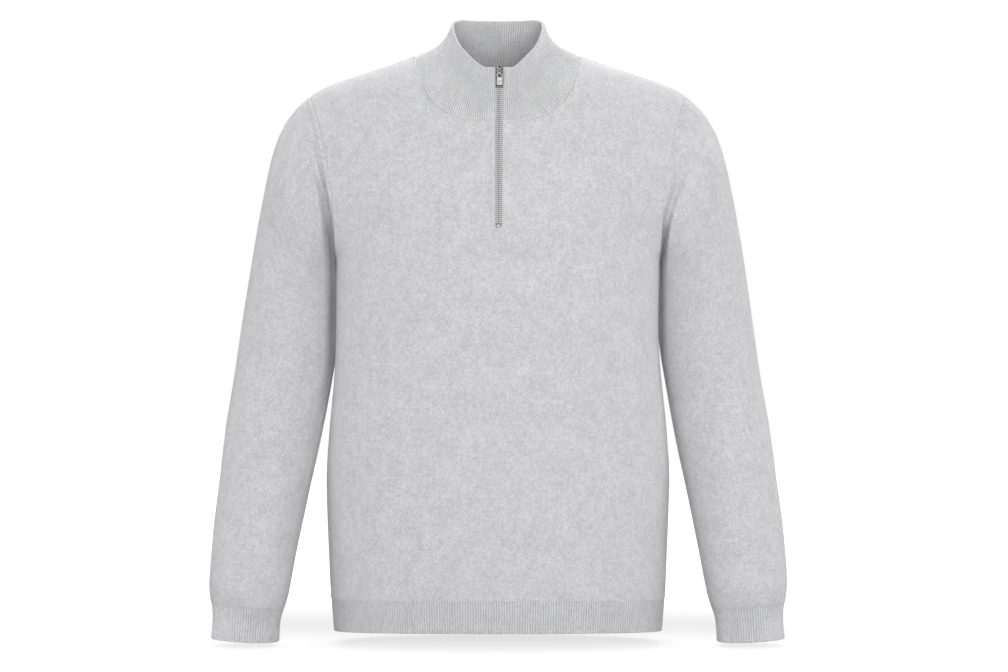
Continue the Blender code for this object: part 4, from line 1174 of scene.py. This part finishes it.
Cut = namedtuple("Cut", "z half share")
PLATE = (
    Cut(0.00525, 0.0012, 0.45),
    Cut(0.00515, 0.0022, 0.80),
    Cut(0.00480, 0.0031, 1.00),
    Cut(0.00400, 0.0037, 1.00),
    Cut(0.00250, PLATE_HALF, 1.00),
    Cut(-0.00100, 0.0038, 1.00),
    Cut(-0.00300, 0.0035, 1.00),
    Cut(-0.00450, 0.0033, 1.00),
    Cut(-0.00505, 0.0030, 0.85),
    Cut(-0.00525, 0.0024, 0.45),
)
ARCH = (  # y and z of its middle line
    (0.0012, -0.00500),
    (0.0002, -0.00500),
    (-0.0012, -0.00490),
    (-0.00205, -0.00430),
    (-0.00205, -0.00250),
    (-0.00205, -0.00070),
    (-0.0012, -0.00010),
    (0.0002, 0.00000),
    (0.0012, 0.00000),
)
FLANGE = ((0.0010, 0.0009), (0.0006, 0.0022), (-0.0042, 0.0022), (-0.0046, 0.0009))  # z and reach back


def stood(points):
    """Points drawn upright about the slider's middle, tilted with the chain and moved to it."""
    x, y, z = points[..., 0], points[..., 1], points[..., 2]
    tilted_y = y * cos(SLIDER_TILT) + z * sin(SLIDER_TILT)
    tilted_z = z * cos(SLIDER_TILT) - y * sin(SLIDER_TILT)
    return stack(x, tilted_y, tilted_z) + SLIDER_AT


def plate(front, back, dome):
    """A slider plate: rounded rectangles stacked down it, with a parabola's dome on the front."""
    z, half, share = np.array(PLATE).T
    a, b = square_rings(24, half, (back - front) / 2 * share, 0.45)
    rise = dome * np.clip(1 - (a / PLATE_HALF) ** 2, 0, 1) * (b < 0)
    return loft(stack(a, (front + back) / 2 + b - rise, z[:, None]))


def flange(side):
    """A low wall on a plate's edge, from rounded rectangles stacked down it that follow its taper."""
    z, reach = np.array(FLANGE).T
    a, b = square_rings(8, FLANGE_HALF, reach / 2)
    z, reach = z[:, None], reach[:, None]
    x = side * (FLANGE_X - FLANGE_TAPER * np.maximum(0, -z)) + a
    return loft(stack(x, FLANGE_Y + reach / 2 + b, z))


line = np.array(ARCH)
(y, z), (way_y, way_z) = (grid.T[..., None] for grid in (line, unit(np.gradient(line, axis=0))))
a, b = square_rings(12, *ARCH_HALVES, 0.6)
arch = loft(stack(a, y - b * way_z, z + b * way_y))
a, b = square_rings(12, *POST_HALVES, 0.7)
post = loft(stack(a, POST_Y[:, None], POST_Z + b))
front_plate = plate(FRONT_FACE, FRONT_FACE + PLATE_WALL, PLATE_DOME)
rear_plate = plate(REAR_FACE - PLATE_WALL, REAR_FACE, 0.0)
points, faces = joined([front_plate, rear_plate, arch, post, flange(-1.0), flange(1.0)])

SLIDER = metal(
    "zip_slider_antique", (0.62, 0.61, 0.60), (0.010, 0.010, 0.010), 0.34, 420, worn=(0.42, 0.62)
)
slider = add_mesh("slider", SLIDER, stood(points), faces)
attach(slider, "garment")
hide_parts("zip_slider")

# ---------------------------------------------------------------- pull tab
# A small stamped tab in polished nickel that swings on the slider's arch through a window, with a
# shallow plain recess below it.

PULL_HALF = 0.0034
PULL_TOP = 0.00055
PULL_END = -0.0160
PULL_WALL = 0.0011
PULL_PLAY = 0.0008
PULL_CORNER = 0.0009
PULL_ROUND = 0.00035
PIVOT_Y = FRONT_FACE - 0.0010
PIVOT_Z = -0.0025
WINDOW_HALF = 0.0020
WINDOW_LOW = -0.00675
RECESS_HALF = 0.0019
RECESS_TOP = -0.0087
RECESS_END = -0.0130
RECESS_DEPTH = 0.00028
RECESS_RAMP = 0.0003

# The grid's lines lie close together along the tab's edges and its window's.
fine = np.array([0, 0.04, 0.12, 0.26, 0.45]) / 1000
rows = np.concatenate(
    [
        PULL_END + fine,
        np.linspace(PULL_END + 0.0007, WINDOW_LOW - 0.0007, 34),
        WINDOW_LOW - fine,
        np.linspace(WINDOW_LOW + 0.0004, -PULL_TOP - 0.0004, 16),
        -PULL_TOP + fine[:3],
        [-PULL_TOP + 0.00035, 0.0],
        PULL_TOP - fine[:4],
    ]
)
right = np.concatenate(
    [np.linspace(0, WINDOW_HALF - 0.0004, 9), WINDOW_HALF + fine[:4], [0.0028], PULL_HALF - fine]
)
rows, right = (np.unique(steps.round(8)) for steps in (rows, right))
columns = np.concatenate([-right[:0:-1], right])
x, z = np.meshgrid(columns, rows)
past = np.maximum(PULL_END + PULL_CORNER - z, z - (PULL_TOP - PULL_CORNER * 0.5))
past = np.clip(np.maximum(past, 0) / PULL_CORNER, 0, 1)
hole_x = np.maximum(np.abs(x) - WINDOW_HALF, 0)
hole_z = np.maximum(np.maximum(WINDOW_LOW - z, z + PULL_TOP), 0)
window = (hole_x <= 1e-7) & (hole_z <= 1e-7)
skip = window[:-1, :-1] & window[1:, 1:] & window[:-1, 1:] & window[1:, :-1]
to_side = np.minimum(PULL_HALF - np.abs(x), np.minimum(z - PULL_END, PULL_TOP - z))
share = narrowing(np.minimum(to_side, np.hypot(hole_x, hole_z)), PULL_ROUND, 0.35)
x = x * (1 - 0.26 * (1 - np.sqrt(1 - past**2)))
recess = RECESS_DEPTH * eased(
    np.minimum(RECESS_HALF - np.abs(x), np.minimum(z - RECESS_END, RECESS_TOP - z)) / RECESS_RAMP
)
half = PULL_WALL / 2 * share
front_side = stood(stack(x + PULL_PLAY, PIVOT_Y - half + recess, PIVOT_Z + z))
back_side = stood(stack(x + PULL_PLAY, PIVOT_Y + half, PIVOT_Z + z))
points, faces, _ = shell(front_side, back_side, np.zeros((*x.shape, 2)), skip=skip)

PULL = metal(
    "zip_pull_nickel",
    (0.60, 0.60, 0.60),
    (0.30, 0.30, 0.30),
    0.46,
    420,
    metallic=0.6,
    # The tab's top, where it hangs inside the slider's arch, is darkened by painted shade.
    shade_above=(-0.0262, -0.0240, 0.25),
    worn=(0.25, 0.75),
)
pull = add_mesh("pull", PULL, points, faces)
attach(pull, "pull_tab")
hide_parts("zip_pull_tab")

# ---------------------------------------------------------------- camera, floor and light
# A plain white sweep under soft light from above and every side. The floor glows, with a painted
# shadow: a little less glow just behind the garment, where its shade would lie.

FLOOR_Z = -0.690
FLOOR_HALF = 9.0
FLOOR_BACK = 5.0
SHADE_Y = 0.235
SHADE_WIDTH = 0.28
SHADE_DEPTH = 0.35

camera = bpy.data.objects.new("camera", bpy.data.cameras.new("camera"))
camera.location = (0.00707, -3.6, -0.3288)
camera.rotation_euler = (QUARTER, 0, 0)
camera.data.lens = 109.1
camera.data.sensor_width = 36.0
bpy.context.scene.collection.objects.link(camera)
bpy.context.scene.camera = camera

white, tree, shader = new_surface("white_floor", 0.9)
shader.inputs["Base Color"].default_value = (0.18, 0.18, 0.18, 1)
shader.inputs["Emission Color"].default_value = (1, 1, 1, 1)
x, y, _ = parts_of(add_node(tree, "TexCoord").outputs["Object"])
behind = (y - SHADE_Y) / SHADE_WIDTH
within = ranged(tree, abs(x), 0.28, 0.44, 1.0, 0.0, interpolation_type="SMOOTHSTEP")
shade = (behind * behind * -1.0).exponential() * within * SHADE_DEPTH
glow = ranged(tree, y, 0.0, 1.2, 0.925, 1.0) - shade
tree.links.new(glow.socket, shader.inputs["Emission Strength"])
sides = np.array([-FLOOR_HALF, FLOOR_HALF, FLOOR_HALF, -FLOOR_HALF])
floor_points = stack(sides, [-FLOOR_HALF, -FLOOR_HALF, FLOOR_BACK, FLOOR_BACK], FLOOR_Z)
floor = add_mesh("white_floor", white, floor_points, np.array([[0, 1, 2, 3]]))
floor.visible_diffuse = False

backdrop_white = bpy.data.materials.new("white_backdrop")
backdrop_white.use_nodes = True
tree = backdrop_white.node_tree
tree.nodes.remove(tree.nodes["Principled BSDF"])
light = add_node(tree, "Emission", {"Color": (1, 1, 1, 1), "Strength": 1.0})
tree.links.new(light.outputs[0], tree.nodes["Material Output"].inputs[0])
wall_points = stack(sides, FLOOR_BACK, [FLOOR_Z, FLOOR_Z, 4.0, 4.0])
backdrop = add_mesh("white_backdrop", backdrop_white, wall_points, np.array([[0, 1, 2, 3]]))

world = bpy.data.worlds.new("studio")
world.use_nodes = True
world.node_tree.nodes["Background"].inputs[0].default_value = (1, 1, 1, 1)
world.node_tree.nodes["Background"].inputs[1].default_value = 0.33
bpy.context.scene.world = world

for name, size_x, size_y, energy, location, lean in (
    ("front_box", 3.0, 2.4, 167, (0.3, -4.2, 0.2), (83, 0, 4)),
    ("left_box", 2.0, 2.4, 31, (-3.6, -0.8, 0.4), (79, 0, -77)),
    ("right_box", 2.0, 2.4, 36, (3.6, -0.8, 0.4), (79, 0, 77)),
    ("back_box", 3.0, 2.0, 84, (0.0, 1.6, 2.4), (-30, 0, 0)),
    ("high_box", 3.0, 2.0, 11, (0.0, -2.6, 2.8), (40, 0, 0)),
):
    lamp = bpy.data.objects.new(name, bpy.data.lights.new(name, "AREA"))
    lamp.data.shape = "RECTANGLE"
    lamp.data.size, lamp.data.size_y = size_x, size_y
    lamp.data.energy = energy
    lamp.location = location
    lamp.rotation_euler = [radians(part) for part in lean]
    bpy.context.scene.collection.objects.link(lamp)

bpy.context.scene.view_settings.view_transform = "Standard"
